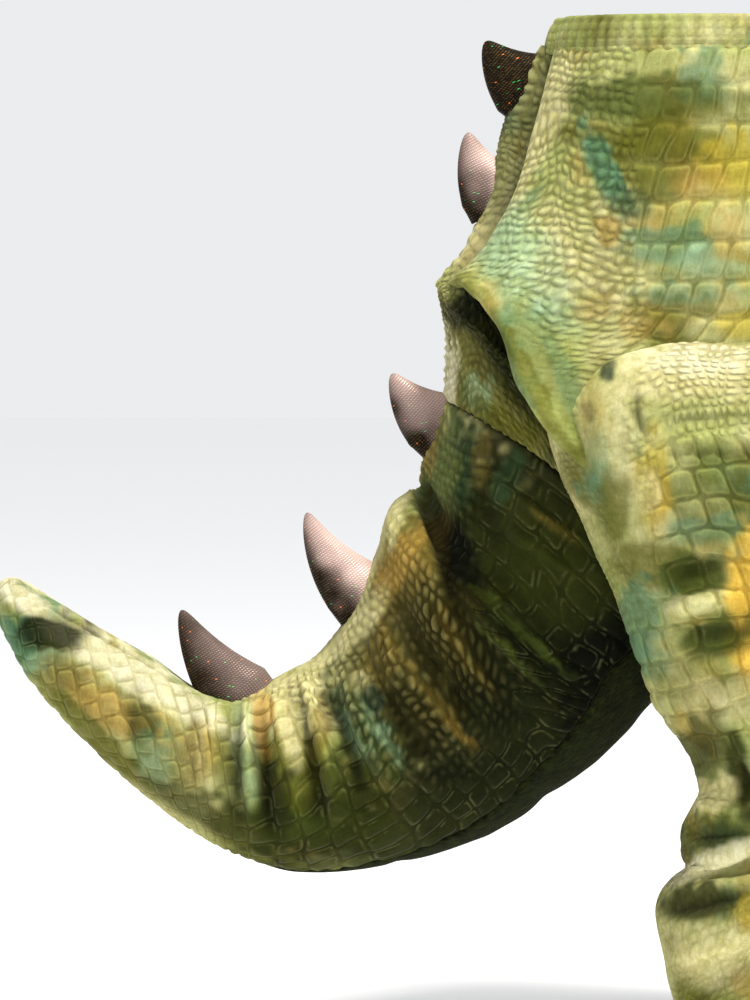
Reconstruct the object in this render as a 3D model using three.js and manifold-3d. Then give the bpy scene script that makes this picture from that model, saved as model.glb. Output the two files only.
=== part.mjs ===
// Ride-on dinosaur costume, size 6 to 8 years: a hollow cloth body that is pulled on at the waist, with trouser
// legs, a neck and head in front, and a tail with five stuffed spikes behind.
// Millimetres, +Z up, +X towards the wearer's front, -Y the wearer's right. The origin is the centre of the waist.
//
// The body, both legs and the neck are tubes. Each tube is a table of sections, one row a section, and the cut
// pieces are patches of its surface with a cloth wall, parted at the seams. Where two tubes meet, the leg or neck
// is cut off on the body's surface, and the body has a hole of the same outline.
import * as THREE from "three";
import { mergeVertices } from "three/addons/utils/BufferGeometryUtils.js";
import Module from "manifold-3d";

const wasm = await Module();
wasm.setup();

// Driving dimensions
const CLOTH = 2.4; // embossed plush on its backing
const BAND = 4; // elastic in a doubled casing
const SEAM = 0.3; // gap between pieces
const CUFF_HEIGHT = 30;
const RIDGE_RISE = 14; // how far the centre back strip stands out of the hips
const RIDGE_EDGE_DEG = 14; // half the angle that the strip shows
const SPIKE_SIDES = 10;
const EYE_RADIUS = 13;
const EYE_RISE = 7;

const radians = THREE.MathUtils.degToRad;

// A table is a list of column names and rows that start with a name.
function table(columns, ...rows) {
  return rows.map(([name, ...cells]) => {
    const row = { name };
    columns.forEach((column, i) => (row[column] = cells[i]));
    return row;
  });
}

const SECTION = ["backX", "backZ", "frontX", "frontZ", "rightY", "leftY", "square", "bow"];

// Body: from the waist down to the fold over the tail, then out along the tail. The back point runs down the
// centre back and along the top of the tail, the front point down the belly and along its underside.
const BODY = table(
  SECTION,
  ["waist", -98, 0, 104, 0, -122, 122, 2.2, 0],
  ["high hip", -110, -38, 124, -40, -131, 131, 2.2, 0],
  ["hip", -122, -80, 155, -120, -142, 142, 2.3, 0],
  ["low hip", -134, -118, 178, -190, -152, 152, 2.3, 0],
  ["seat", -149, -148, 182, -265, -155, 155, 2.4, 0],
  ["low seat", -165, -170, 155, -335, -157, 157, 2.4, 0],
  ["above fold", -176, -184, 95, -395, -158, 158, 2.3, 0],
  ["fold", -181, -195, 25, -434, -154, 154, 2.2, -6],
  ["under fold", -177, -222, 18, -439, -120, 120, 2.1, 6],
  ["tail seam", -178, -273, 10, -452, -104, 104, 2.0, 22],
  ["tail root", -190, -308, -6, -472, -100, 100, 2.0, 14],
  ["tail crease", -202, -334, -30, -495, -97, 97, 2.0, 4],
  ["below crease", -217, -361, -55, -523, -98, 98, 2.0, 0],
  ["bend", -231, -396, -95, -555, -95, 95, 2.0, 0],
  ["lower bend", -247, -430, -139, -585, -89, 89, 2.0, 0],
  ["turn", -268, -456, -190, -604, -80, 80, 2.0, 0],
  ["level", -289, -469, -240, -613, -71, 71, 2.0, 0],
  ["spike five", -311, -480, -286, -614, -64, 64, 2.0, 0],
  ["rise", -335, -486, -326, -602, -56, 56, 2.0, 0],
  ["rising", -358, -480, -362, -583, -50, 50, 2.0, 0],
  ["slope", -391, -458, -403, -554, -45, 45, 2.0, 0],
  ["upper slope", -426, -437, -445, -517, -39, 39, 2.0, 0],
  ["near tip", -459, -417, -477, -482, -32, 32, 2.0, 0],
  ["tip", -482, -403, -496, -446, -22, 22, 2.0, 0],
  ["tip round", -493, -402, -502, -424, -12, 12, 2.0, 0],
  ["tip end", -498, -408, -502, -417, -5, 5, 2.0, 0],
);

// Leg on the wearer's right: the back point is its rear line, the front point its shin.
const LEG = table(
  SECTION,
  ["inside hip", -35, -216, 90, -216, -138, -70, 2.4, 0],
  ["crown", -78, -236, 122, -235, -166, -48, 2.8, 0],
  ["arch", -98, -254, 136, -254, -178, -36, 3.0, 0],
  ["haunch", -107, -279, 143, -276, -185, -28, 3.0, 0],
  ["thigh", -101, -312, 145, -306, -187, -24, 2.9, 0],
  ["low thigh", -81, -358, 139, -352, -184, -22, 2.6, 0],
  ["above knee", -60, -405, 131, -400, -177, -22, 2.3, 0],
  ["knee", -45, -445, 122, -440, -168, -24, 2.1, 0],
  ["calf", -31, -482, 112, -478, -158, -28, 2.0, 0],
  ["shin", -10, -513, 106, -506, -150, -33, 2.0, 0],
  ["hollow", 1, -543, 102, -530, -143, -39, 2.0, 0],
  ["roll rise", -4, -557, 105, -541, -146, -36, 2.0, 0],
  ["first roll", -11, -574, 109, -552, -150, -33, 2.0, 0],
  ["tuck", -6, -598, 103, -569, -143, -39, 2.0, 0],
  ["second rise", -20, -610, 110, -578, -151, -32, 2.0, 0],
  ["second roll", -29, -629, 116, -592, -156, -27, 2.0, 0],
  ["below roll", -24, -660, 111, -630, -152, -31, 2.0, 0],
  ["low cloth", -16, -697, 102, -676, -145, -38, 2.0, 0],
  ["hem", -4, -729, 91, -719, -137, -45, 2.0, 0],
  ["cuff end", -6, -729 - CUFF_HEIGHT, 93, -719 - CUFF_HEIGHT, -139, -43, 2.0, 0],
);

// Neck and head: the back point runs along the nape and the top of the head, the front point along the throat.
const NECK = table(
  SECTION,
  ["inside chest", 66, -84, 118, -232, -88, 88, 2.0, 0],
  ["chest", 118, -60, 184, -214, -98, 98, 2.0, 0],
  ["low neck", 165, -28, 229, -160, -90, 90, 2.0, 0],
  ["mid neck", 212, 12, 267, -102, -78, 78, 2.0, 0],
  ["high neck", 258, 45, 300, -54, -67, 67, 2.0, 0],
  ["nape", 300, 76, 328, -22, -60, 60, 2.0, 0],
  ["jaw corner", 336, 97, 347, -14, -59, 59, 2.1, 0],
  ["cheek", 373, 111, 377, -29, -66, 66, 2.3, 0],
  ["brow", 411, 113, 413, -38, -69, 69, 2.3, 0],
  ["snout", 450, 99, 450, -40, -62, 62, 2.3, 0],
  ["mid snout", 487, 81, 486, -36, -55, 55, 2.3, 0],
  ["nostril", 521, 66, 519, -28, -47, 47, 2.3, 0],
  ["nose", 547, 45, 543, -15, -34, 34, 2.1, 0],
  ["nose round", 560, 24, 557, 2, -16, 16, 2.0, 0],
  ["nose end", 563, 17, 562, 9, -5, 5, 2.0, 0],
);

// Folds: a soft ridge (rise above 0) or trough on a tube's surface, centred on a section and an angle, with its
// spread along and round the tube. slant is how many sections it moves along for each degree round.
const FOLD = ["at", "angle", "rise", "along", "round", "slant"];
const BODY_FOLDS = {
  right: table(
    FOLD,
    ["groove beside the back strip", 3.0, 14, -5, 2.6, 5, 0],
    ["rolled hip edge", 3.4, 25, 4, 2.6, 8, 0],
    ["seat bulge", 6.2, 34, 9, 1.1, 18, 0],
    ["drag to the leg", 6.0, 72, 6, 0.7, 22, -0.01],
    ["hollow above the leg", 5.0, 88, -6, 1.0, 18, 0.02],
    ["fold lip", 6.9, 58, 4, 0.35, 34, 0],
    ["tail crease", 11.1, 22, -13, 0.42, 34, 0.006],
    ["lip over the crease", 11.8, 20, 5, 0.5, 26, 0.006],
    ["upper drag", 10.2, 84, 4, 0.5, 26, -0.01],
    ["second crease", 13.2, 62, -6, 0.4, 30, 0.008],
    ["third crease", 15.0, 40, -5, 0.42, 34, 0.008],
    ["cross ridge", 15.9, 70, 4, 0.45, 34, 0.004],
    ["fourth crease", 17.0, 60, -4, 0.45, 32, 0.006],
    ["tip dimple", 22.0, 40, -4, 0.8, 20, 0],
  ),
  left: table(
    FOLD,
    ["groove beside the back strip", 3.0, 14, -5, 2.6, 5, 0],
    ["rolled hip edge", 3.0, 26, 4, 2.5, 8, 0],
    ["seat bulge", 6.0, 32, 7, 1.2, 20, 0],
    ["drag to the leg", 5.5, 66, 6, 0.7, 20, -0.01],
    ["hollow above the leg", 4.6, 92, -5, 1.1, 20, 0.02],
    ["fold lip", 6.9, 54, 4, 0.35, 32, 0],
    ["tail crease", 11.3, 26, -11, 0.45, 30, 0.008],
    ["lip over the crease", 12.1, 24, 4, 0.5, 26, 0.006],
    ["upper drag", 10.0, 90, 4, 0.5, 24, -0.01],
    ["second crease", 13.8, 70, -6, 0.42, 28, 0.006],
    ["third crease", 15.6, 36, -4, 0.4, 30, 0.01],
    ["fourth crease", 17.6, 66, -4, 0.5, 30, 0.004],
    ["tip dimple", 21.4, 60, -3, 0.8, 22, 0],
  ),
};
const LEG_FOLDS = {
  right: table(
    FOLD,
    ["dent under the arch", 3.6, 34, -5, 0.5, 14, 0],
    ["drag down the thigh", 5.2, 60, 4, 1.4, 16, 0.02],
    ["knee dent", 6.9, 62, -6, 0.5, 18, 0],
    ["knee dent, front", 7.0, 108, -6, 0.5, 16, 0],
    ["calf hollow", 9.9, 80, -7, 0.6, 26, 0],
    ["first roll", 12.1, 70, 5, 0.55, 44, 0],
    ["tuck", 13.1, 76, -7, 0.45, 44, 0],
    ["second roll", 15.1, 84, 6, 0.6, 46, 0],
    ["low tuck", 16.4, 66, -6, 0.5, 30, 0.004],
    ["inner tuck", 13.2, 262, -5, 0.6, 40, 0],
    ["inner roll", 15.0, 275, 4, 0.7, 44, 0],
  ),
  left: table(
    FOLD,
    ["dent under the arch", 3.8, 40, -4, 0.5, 14, 0],
    ["drag down the thigh", 5.0, 70, 4, 1.3, 18, 0.02],
    ["knee dent", 7.2, 84, -6, 0.6, 20, 0],
    ["calf hollow", 9.6, 70, -6, 0.6, 28, 0],
    ["first roll", 11.9, 86, 5, 0.6, 42, 0],
    ["tuck", 13.0, 90, -7, 0.45, 46, 0],
    ["second roll", 14.9, 72, 6, 0.6, 48, 0],
    ["low tuck", 16.2, 100, -6, 0.5, 30, 0.004],
    ["inner tuck", 13.0, 268, -5, 0.6, 40, 0],
    ["inner roll", 15.2, 280, 4, 0.7, 44, 0],
  ),
};
const NECK_FOLDS = {
  right: table(
    FOLD,
    ["bend crease", 2.6, 50, -5, 0.4, 30, 0.006],
    ["nape crease", 4.6, 60, -4, 0.4, 30, 0.006],
    ["brow ridge", 8.0, 42, 6, 0.6, 14, 0],
    ["eye hollow", 8.1, 62, -3, 0.5, 12, 0],
    ["cheek", 7.0, 84, 4, 0.6, 18, 0],
  ),
  left: table(
    FOLD,
    ["bend crease", 2.9, 56, -5, 0.4, 30, 0.006],
    ["nape crease", 4.4, 54, -4, 0.4, 30, 0.006],
    ["brow ridge", 8.0, 42, 6, 0.6, 14, 0],
    ["eye hollow", 8.1, 62, -3, 0.5, 12, 0],
    ["cheek", 7.0, 84, 4, 0.6, 18, 0],
  ),
};

// Smooth interpolation of one column of a table at a fractional section number.
function columnAt(rows, column, at) {
  const last = rows.length - 1;
  const i = Math.min(last - 1, Math.max(0, Math.floor(at)));
  const t = at - i;
  const value = (k) => rows[Math.min(last, Math.max(0, k))][column];
  const [a, b, c, d] = [value(i - 1), value(i), value(i + 1), value(i + 2)];
  return b + 0.5 * t * (c - a + t * (2 * a - 5 * b + 4 * c - d + t * (3 * (b - c) + d - a)));
}

function sectionAt(rows, at) {
  const section = {};
  SECTION.forEach((column) => (section[column] = columnAt(rows, column, at)));
  return section;
}

// A point of a section: 0 degrees is its back point, 90 the wearer's right, 180 its front point.
function sectionPoint(s, degrees) {
  const cos = Math.cos(radians(degrees));
  const sin = Math.sin(radians(degrees));
  const power = 2 / s.square;
  const along = Math.sign(cos) * Math.abs(cos) ** power;
  const across = Math.sign(sin) * Math.abs(sin) ** power;
  const halfX = (s.backX - s.frontX) / 2;
  const halfZ = (s.backZ - s.frontZ) / 2;
  const half = Math.hypot(halfX, halfZ);
  const bow = s.bow * sin * sin;
  const halfY = (s.rightY - s.leftY) / 2;
  return new THREE.Vector3(
    (s.backX + s.frontX) / 2 + halfX * along + (halfZ / half) * bow,
    (s.rightY + s.leftY) / 2 + halfY * across,
    (s.backZ + s.frontZ) / 2 + halfZ * along - (halfX / half) * bow,
  );
}

function foldRise(folds, at, degrees) {
  const turned = ((degrees % 360) + 360) % 360;
  return folds.reduce((sum, fold) => {
    const round = turned - fold.angle;
    const along = at - fold.at - fold.slant * round;
    return sum + fold.rise * Math.exp(-((along / fold.along) ** 2) - (round / fold.round) ** 2);
  }, 0);
}

// A tube's surface: point and outward normal at a section number and an angle.
class Tube {
  constructor(rows, riseAt, { mirrored = false, forward = false } = {}) {
    this.rows = rows;
    this.riseAt = riseAt;
    this.mirrored = mirrored;
    this.inverted = mirrored !== forward;
  }

  bare(at, degrees) {
    const point = sectionPoint(sectionAt(this.rows, at), degrees);
    if (this.mirrored) point.y = -point.y;
    return point;
  }

  normalOf(pointAt, at, degrees) {
    const step = 0.02;
    const turn = 0.5;
    const low = Math.max(0, at - step);
    const high = Math.min(this.rows.length - 1, at + step);
    const along = pointAt(high, degrees).sub(pointAt(low, degrees));
    const round = pointAt(at, degrees + turn).sub(pointAt(at, degrees - turn));
    const normal = along.cross(round).normalize();
    return this.inverted ? normal.negate() : normal;
  }

  point(at, degrees) {
    const bare = (a, d) => this.bare(a, d);
    return bare(at, degrees).addScaledVector(this.normalOf(bare, at, degrees), this.riseAt(at, degrees));
  }

  normal(at, degrees) {
    return this.normalOf((a, d) => this.point(a, d), at, degrees);
  }
}

// The two sides have their own folds, which even out where the sides meet.
const sidedRise = (folds) => (at, degrees) => {
  const turned = ((degrees % 360) + 360) % 360;
  const side = Math.min(turned, 360 - turned);
  const [right, left] = [foldRise(folds.right, at, side), foldRise(folds.left, at, side)];
  const share = THREE.MathUtils.smoothstep(side, 3, 20) * THREE.MathUtils.smoothstep(180 - side, 3, 20);
  return THREE.MathUtils.lerp((right + left) / 2, turned <= 180 ? right : left, share);
};

const body = new Tube(BODY, sidedRise(BODY_FOLDS));
const neck = new Tube(NECK, sidedRise(NECK_FOLDS), { forward: true });
// The left foot stands a little forward of the right one.
const LEFT_STANCE = 46;
const LEFT_LEG = LEG.map((row) => {
  const forward = LEFT_STANCE * Math.max(0, (-240 - row.backZ) / 500);
  return { ...row, backX: row.backX + forward, frontX: row.frontX + forward };
});
// A leg's folds fade out at its seams.
const legRise = (folds) => (at, degrees) => {
  const fromSeam = 90 - Math.abs(90 - (((degrees % 180) + 180) % 180));
  return foldRise(folds, at, degrees) * THREE.MathUtils.smoothstep(fromSeam, 2, 16);
};
const legs = {
  right: new Tube(LEG, legRise(LEG_FOLDS.right)),
  left: new Tube(LEFT_LEG, legRise(LEG_FOLDS.left), { mirrored: true }),
};

const steps = (from, to, count) => Array.from({ length: count + 1 }, (_, i) => from + ((to - from) * i) / count);
const rowNamed = (rows, name) => rows.findIndex((row) => row.name === name);

// Section numbers of the seams
const BAND_END = 0.72;
const FOLD_ROW = rowNamed(BODY, "fold");
const TAIL_ROW = rowNamed(BODY, "tail seam");
const TIP_ROW = BODY.length - 1;
const UNDER_END = rowNamed(BODY, "rise") + 0.3;
const HEM_ROW = rowNamed(LEG, "hem");
const JAW_ROW = rowNamed(NECK, "jaw corner");
const NOSE_ROW = NECK.length - 1;

// The seam between a side and the underside: an angle at each section.
const UNDER_SEAM = table(
  ["at", "angle"],
  ["waist", 0, 150],
  ["seat", 4, 146],
  ["fold", 7, 138],
  ["tail seam", 9, 132],
  ["crease", 11, 128],
  ["bend", 13, 138],
  ["turn", 15, 150],
  ["level", 16, 158],
  ["spike five", 17, 165],
  ["end", 18.3, 176],
);

function underSeam(at) {
  const next = UNDER_SEAM.findIndex((row) => row.at > at);
  if (next < 0) return UNDER_SEAM[UNDER_SEAM.length - 1].angle;
  if (next === 0) return UNDER_SEAM[0].angle;
  const [a, b] = [UNDER_SEAM[next - 1], UNDER_SEAM[next]];
  return a.angle + ((b.angle - a.angle) * (at - a.at)) / (b.at - a.at);
}

// Angles of the body's lattice at a section, from the centre back round the right side to the front and back.
const SIDE_STEPS = 9;
const UNDER_STEPS = 5;
function bodyAngles(at) {
  const side = steps(RIDGE_EDGE_DEG, underSeam(at), SIDE_STEPS);
  const under = steps(underSeam(at), 360 - underSeam(at), UNDER_STEPS);
  const other = side.map((angle) => 360 - angle).reverse();
  return [0, ...side, ...under.slice(1, -1), ...other];
}
const rightAngles = (first) => (at) => bodyAngles(at).slice(first, SIDE_STEPS + 2);
const underAngles = (at) => steps(underSeam(at), 360 - underSeam(at), UNDER_STEPS);
const leftAngles = (first) => (at) => rightAngles(first)(at).map((angle) => 360 - angle).reverse();

const HIP_ROWS = steps(BAND_END, FOLD_ROW, 14);
const RUMP_ROWS = steps(FOLD_ROW, TAIL_ROW, 5);
const TAIL_ROWS = [...steps(TAIL_ROW, 17, 19), ...steps(17, TIP_ROW, 10).slice(1)];
const LEG_ROWS = [...steps(0, 9, 11), ...steps(9, HEM_ROW, 14).slice(1)];
const LEG_SIDES = 18;
const NECK_ROWS = steps(0, JAW_ROW, 9);
const HEAD_ROWS = steps(JAW_ROW, NOSE_ROW, 10);

// Mesh building: a solid from quads between grids of points.
function solidFrom(vertices, triangles) {
  const position = new THREE.Float32BufferAttribute(vertices.flatMap((v) => [v.x, v.y, v.z]), 3);
  const geometry = new THREE.BufferGeometry().setAttribute("position", position).setIndex(triangles);
  const merged = mergeVertices(geometry, 1e-4);
  const mesh = new wasm.Mesh({
    numProp: 3,
    vertProperties: merged.attributes.position.array,
    triVerts: new Uint32Array(merged.index.array),
  });
  const solid = new wasm.Manifold(mesh);
  if (solid.volume() >= 0) return solid;
  const flipped = triangles.map((_, i) => triangles[i - (i % 3) + [0, 2, 1][i % 3]]);
  return solidFrom(vertices, flipped);
}

// A grid of point numbers as quads, each two triangles.
function quads(grid, closed, out, reversed = false) {
  for (let i = 0; i + 1 < grid.length; i++) {
    const width = grid[i].length;
    for (let j = 0; j < (closed ? width : width - 1); j++) {
      const k = (j + 1) % width;
      const [a, b, c, d] = [grid[i][j], grid[i][k], grid[i + 1][k], grid[i + 1][j]];
      out.push(...(reversed ? [a, c, b, a, d, c] : [a, b, c, a, c, d]));
    }
  }
}

// Pulls the border of a grid of points in by half a seam's gap.
function trimmed(grid, closed) {
  const pull = (point, inner) => {
    const step = inner.clone().sub(point);
    return point.clone().addScaledVector(step.normalize(), SEAM / 2);
  };
  let cut = grid.map((row, i) => {
    if (i === 0) return row.map((point, j) => pull(point, grid[1][j]));
    if (i === grid.length - 1) return row.map((point, j) => pull(point, grid[i - 1][j]));
    return row;
  });
  if (!closed) {
    cut = cut.map((row) => {
      const last = row.length - 1;
      return row.map((point, j) => {
        if (j === 0) return pull(point, row[1]);
        return j === last ? pull(point, row[last - 1]) : point;
      });
    });
  }
  return cut;
}

// A cloth wall between two grids of points.
function wallBetween(outer, inner, closed) {
  const [outside, inside] = [trimmed(outer, closed), trimmed(inner, closed)];
  const vertices = [];
  const numbered = (grid) => grid.map((row) => row.map((point) => vertices.push(point) - 1));
  const [o, n] = [numbered(outside), numbered(inside)];
  const triangles = [];
  quads(o, closed, triangles);
  quads(n, closed, triangles, true);
  const column = (grid, j) => grid.map((row) => row[j]);
  const last = o.length - 1;
  const end = o[0].length - 1;
  quads([n[0], o[0]], closed, triangles);
  quads([o[last], n[last]], closed, triangles);
  if (!closed) {
    quads([column(o, 0), column(n, 0)], false, triangles);
    quads([column(n, end), column(o, end)], false, triangles);
  }
  return solidFrom(vertices, triangles);
}

// A patch of a tube as a cloth wall. lift moves it off the surface, thickness is how far its inside lies in.
function patch(tube, rows, anglesAt, { thickness = () => CLOTH, lift = () => 0, closed = false } = {}) {
  const grid = (depthAt) =>
    rows.map((at) =>
      anglesAt(at).map((angle) =>
        tube.point(at, angle).addScaledVector(tube.normal(at, angle), lift(at, angle) - depthAt(at, angle)),
      ),
    );
  return wallBetween(grid(() => 0), grid(thickness), closed);
}

// The full form of a tube, grown by a margin, to cut others with.
function formOf(tube, rows, anglesAt, margin) {
  const vertices = [];
  const grid = rows.map((at) =>
    anglesAt(at).map(
      (angle) => vertices.push(tube.point(at, angle).addScaledVector(tube.normal(at, angle), margin)) - 1,
    ),
  );
  const triangles = [];
  quads(grid, true, triangles);
  const cap = (ring, reversed) => {
    const centre = new THREE.Vector3();
    ring.forEach((i) => centre.addScaledVector(vertices[i], 1 / ring.length));
    const hub = vertices.push(centre) - 1;
    ring.forEach((i, k) => {
      const next = ring[(k + 1) % ring.length];
      triangles.push(...(reversed ? [hub, next, i] : [hub, i, next]));
    });
  };
  cap(grid[0], true);
  cap(grid[grid.length - 1], false);
  return solidFrom(vertices, triangles);
}

const round = (count) => steps(0, 360, count).slice(0, -1);
const taper = (at) => Math.min(CLOTH, 0.4 * columnAt(BODY, "leftY", at));
const noseTaper = (at) => Math.min(CLOTH, 0.4 * columnAt(NECK, "leftY", at));
const BODY_ROWS = [0, ...HIP_ROWS, ...RUMP_ROWS.slice(1), ...TAIL_ROWS.slice(1)];
const bodyForm = formOf(body, BODY_ROWS, bodyAngles, SEAM);
const legForm = {
  right: formOf(legs.right, LEG_ROWS, () => round(LEG_SIDES), SEAM),
  left: formOf(legs.left, LEG_ROWS, () => round(LEG_SIDES), SEAM),
};
const NECK_SEAM_DEG = 128;
const MOUTH_DEG = 106;
const NECK_STEPS = 6;
const THROAT_STEPS = 4;
const throatSeam = (at) => THREE.MathUtils.lerp(NECK_SEAM_DEG, MOUTH_DEG, Math.min(1, at / JAW_ROW));
const neckSide = {
  right: (at) => steps(0, throatSeam(at), NECK_STEPS),
  left: (at) => steps(360 - throatSeam(at), 360, NECK_STEPS),
  under: (at) => steps(throatSeam(at), 360 - throatSeam(at), THROAT_STEPS),
};
const neckAngles = (at) => [
  ...neckSide.right(at),
  ...neckSide.under(at).slice(1, -1),
  ...neckSide.left(at).slice(0, -1),
];
const neckForm = formOf(neck, NECK_ROWS, neckAngles, SEAM);

// The largest piece of a cut solid: a cut can leave crumbs.
function largest(solid) {
  return solid.decompose().reduce((a, b) => (a.volume() >= b.volume() ? a : b));
}

function less(solid, ...cutters) {
  return largest(cutters.reduce((left, cutter) => left.subtract(cutter), solid));
}

// Materials
const cloth = (colour, roughness) =>
  new THREE.MeshStandardMaterial({ color: new THREE.Color(...colour), roughness, metalness: 0 });
const scalePlush = cloth([0.42, 0.43, 0.2], 0.85);
const darkPlush = cloth([0.07, 0.09, 0.02], 0.95);
const elastic = cloth([0.24, 0.25, 0.11], 0.9);
const glitterKnit = new THREE.MeshStandardMaterial({
  color: new THREE.Color(0.2, 0.13, 0.1),
  roughness: 0.45,
  metalness: 0.4,
});
const glossPlastic = new THREE.MeshStandardMaterial({ color: new THREE.Color(0.02, 0.02, 0.02), roughness: 0.15 });

const costume = new THREE.Group();
function add(name, solid, material) {
  const { vertProperties, triVerts, numProp } = solid.getMesh();
  const count = vertProperties.length / numProp;
  const position = new Float32Array(count * 3);
  for (let i = 0; i < count; i++) position.set(vertProperties.subarray(i * numProp, i * numProp + 3), i * 3);
  const geometry = new THREE.BufferGeometry()
    .setAttribute("position", new THREE.BufferAttribute(position, 3))
    .setIndex(new THREE.BufferAttribute(triVerts, 1));
  geometry.computeVertexNormals();
  const mesh = new THREE.Mesh(geometry, material);
  mesh.name = name;
  costume.add(mesh);
}

// Waistband: a ring of elastic in its casing, on top of the hips.
function addWaistband() {
  const rows = steps(0, BAND_END, 2);
  const ring = patch(body, rows, bodyAngles, { thickness: () => BAND, lift: () => 0.8, closed: true });
  add("waistband", ring, elastic);
}

// Centre back strip: a raised ridge that carries the upper spikes, its edges tucked in under the hips.
const RIDGE_END = FOLD_ROW - 0.15;
function ridgeLift(at, degrees) {
  const turned = Math.abs(((degrees + 180) % 360) - 180) / RIDGE_EDGE_DEG;
  const fade = THREE.MathUtils.clamp((5 - at) / 2.6, 0.1, 1);
  const tuck = CLOTH + 2.4;
  return RIDGE_RISE * fade * Math.exp(-((turned / 0.5) ** 2)) - tuck * THREE.MathUtils.smoothstep(turned, 0.25, 0.75);
}
const ridgeAngles = () => [-17, -12, -9, -6, -3, 0, 3, 6, 9, 12, 17].map((angle) => angle + 360);

function addRidge() {
  const rows = steps(BAND_END, RIDGE_END, 12);
  add("back_ridge", patch(body, rows, ridgeAngles, { lift: ridgeLift }), scalePlush);
}

// Sides of the body between the waistband and the fold, open where the legs and the neck join.
function addHips() {
  const cutters = [legForm.right, legForm.left, neckForm];
  add("hip_right", less(patch(body, HIP_ROWS, rightAngles(1)), ...cutters), scalePlush);
  add("hip_left", less(patch(body, HIP_ROWS, leftAngles(1)), ...cutters), scalePlush);
  add("belly", less(patch(body, HIP_ROWS, underAngles), ...cutters), darkPlush);
}

// Gussets that turn in under the fold, down to the tail.
function addRump() {
  const cutters = [legForm.right, legForm.left];
  add("rump_right", less(patch(body, RUMP_ROWS, rightAngles(0)), ...cutters), scalePlush);
  const left = (at) => [...leftAngles(1)(at), 360];
  add("rump_left", less(patch(body, RUMP_ROWS, left), ...cutters), scalePlush);
}

// Tail: two sides that meet along the top, and a plain underside that runs out to a point.
function addTail() {
  const cutters = [legForm.right, legForm.left];
  const thin = { thickness: taper };
  add("tail_right", less(patch(body, TAIL_ROWS, rightAngles(0), thin), ...cutters), scalePlush);
  const left = (at) => [...leftAngles(1)(at), 360];
  add("tail_left", less(patch(body, TAIL_ROWS, left, thin), ...cutters), scalePlush);
  const rows = [...RUMP_ROWS, ...TAIL_ROWS.filter((at) => at > TAIL_ROW && at < UNDER_END), UNDER_END];
  add("tail_under", less(patch(body, rows, underAngles, thin), ...cutters), darkPlush);
}

// Legs: each an outer and an inner half, joined at the back and the front and cut off on the body's surface, with
// an elastic cuff.
function addLeg(side) {
  const outer = () => steps(0, 180, LEG_SIDES / 2);
  const inner = () => steps(180, 360, LEG_SIDES / 2);
  add("leg_" + side + "_outer", less(patch(legs[side], LEG_ROWS, outer), bodyForm), scalePlush);
  add("leg_" + side + "_inner", less(patch(legs[side], LEG_ROWS, inner), bodyForm), scalePlush);
  const rows = steps(HEM_ROW, LEG.length - 1, 2);
  const wall = { thickness: () => BAND, lift: () => 0.8, closed: true };
  add("cuff_" + side, patch(legs[side], rows, () => round(LEG_SIDES), wall), elastic);
}

// Neck and head: sides, a plain throat, and a jaw under the mouth.
function addNeck() {
  add("neck_right", less(patch(neck, NECK_ROWS, neckSide.right), bodyForm), scalePlush);
  add("neck_left", less(patch(neck, NECK_ROWS, neckSide.left), bodyForm), scalePlush);
  add("throat", less(patch(neck, NECK_ROWS, neckSide.under), bodyForm), darkPlush);
  const thin = { thickness: noseTaper };
  add("head_right", patch(neck, HEAD_ROWS, neckSide.right, thin), scalePlush);
  add("head_left", patch(neck, HEAD_ROWS, neckSide.left, thin), scalePlush);
  add("jaw", patch(neck, HEAD_ROWS, neckSide.under, thin), darkPlush);
}

// Spikes: stuffed cones with a hooked tip, seated on the centre back strip or on the tail's top seam.
const SPIKES = table(
  ["baseX", "baseZ", "tipX", "tipZ", "length", "width", "hook"],
  ["spike_1", -120, -46, -150, -19, 56, 34, 8],
  ["spike_2", -142, -124, -163, -83, 50, 32, 8],
  ["spike_3", -184, -288, -217, -257, 52, 36, 9],
  ["spike_4", -239, -410, -279, -357, 52, 40, 11],
  ["spike_5", -328, -483, -369, -427, 54, 38, 9],
);
const SPIKE_ROWS = 6;

function spikeSolid(spike) {
  const base = new THREE.Vector3(spike.baseX, 0, spike.baseZ);
  const tip = new THREE.Vector3(spike.tipX, 0, spike.tipZ);
  const axis = tip.clone().sub(base);
  const reach = axis.length();
  const out = axis.clone().normalize();
  const fore = new THREE.Vector3(-out.z, 0, out.x);
  const sunk = -0.35;
  const vertices = [];
  const grid = steps(sunk, 0.94, SPIKE_ROWS).map((t) => {
    const rise = Math.max(0, t);
    const size = Math.sqrt(Math.max(0, 1 - rise)) * (1 - 0.35 * rise);
    const centre = base.clone().addScaledVector(out, t * reach);
    centre.addScaledVector(fore, spike.hook * (rise - rise * rise) * 2 - spike.hook * 0.3 * rise);
    return round(SPIKE_SIDES).map((degrees) => {
      const point = centre.clone().addScaledVector(fore, (Math.cos(radians(degrees)) * size * spike.length) / 2);
      point.y += (Math.sin(radians(degrees)) * size * spike.width) / 2;
      return vertices.push(point) - 1;
    });
  });
  const triangles = [];
  quads(grid, true, triangles);
  const hub = (ring, place, reversed) => {
    const centre = vertices.push(place) - 1;
    ring.forEach((i, k) => {
      const next = ring[(k + 1) % ring.length];
      triangles.push(...(reversed ? [centre, next, i] : [centre, i, next]));
    });
  };
  hub(grid[0], base.clone().addScaledVector(out, sunk * reach), true);
  hub(grid[grid.length - 1], tip, false);
  return solidFrom(vertices, triangles);
}

function addSpikes() {
  const ridgeRows = steps(BAND_END, RIDGE_END, 12);
  const seat = patch(body, ridgeRows, ridgeAngles, { thickness: () => 24, lift: (a, d) => ridgeLift(a, d) + SEAM });
  SPIKES.forEach((spike) => add(spike.name, less(spikeSolid(spike), bodyForm, seat), glitterKnit));
}

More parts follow.
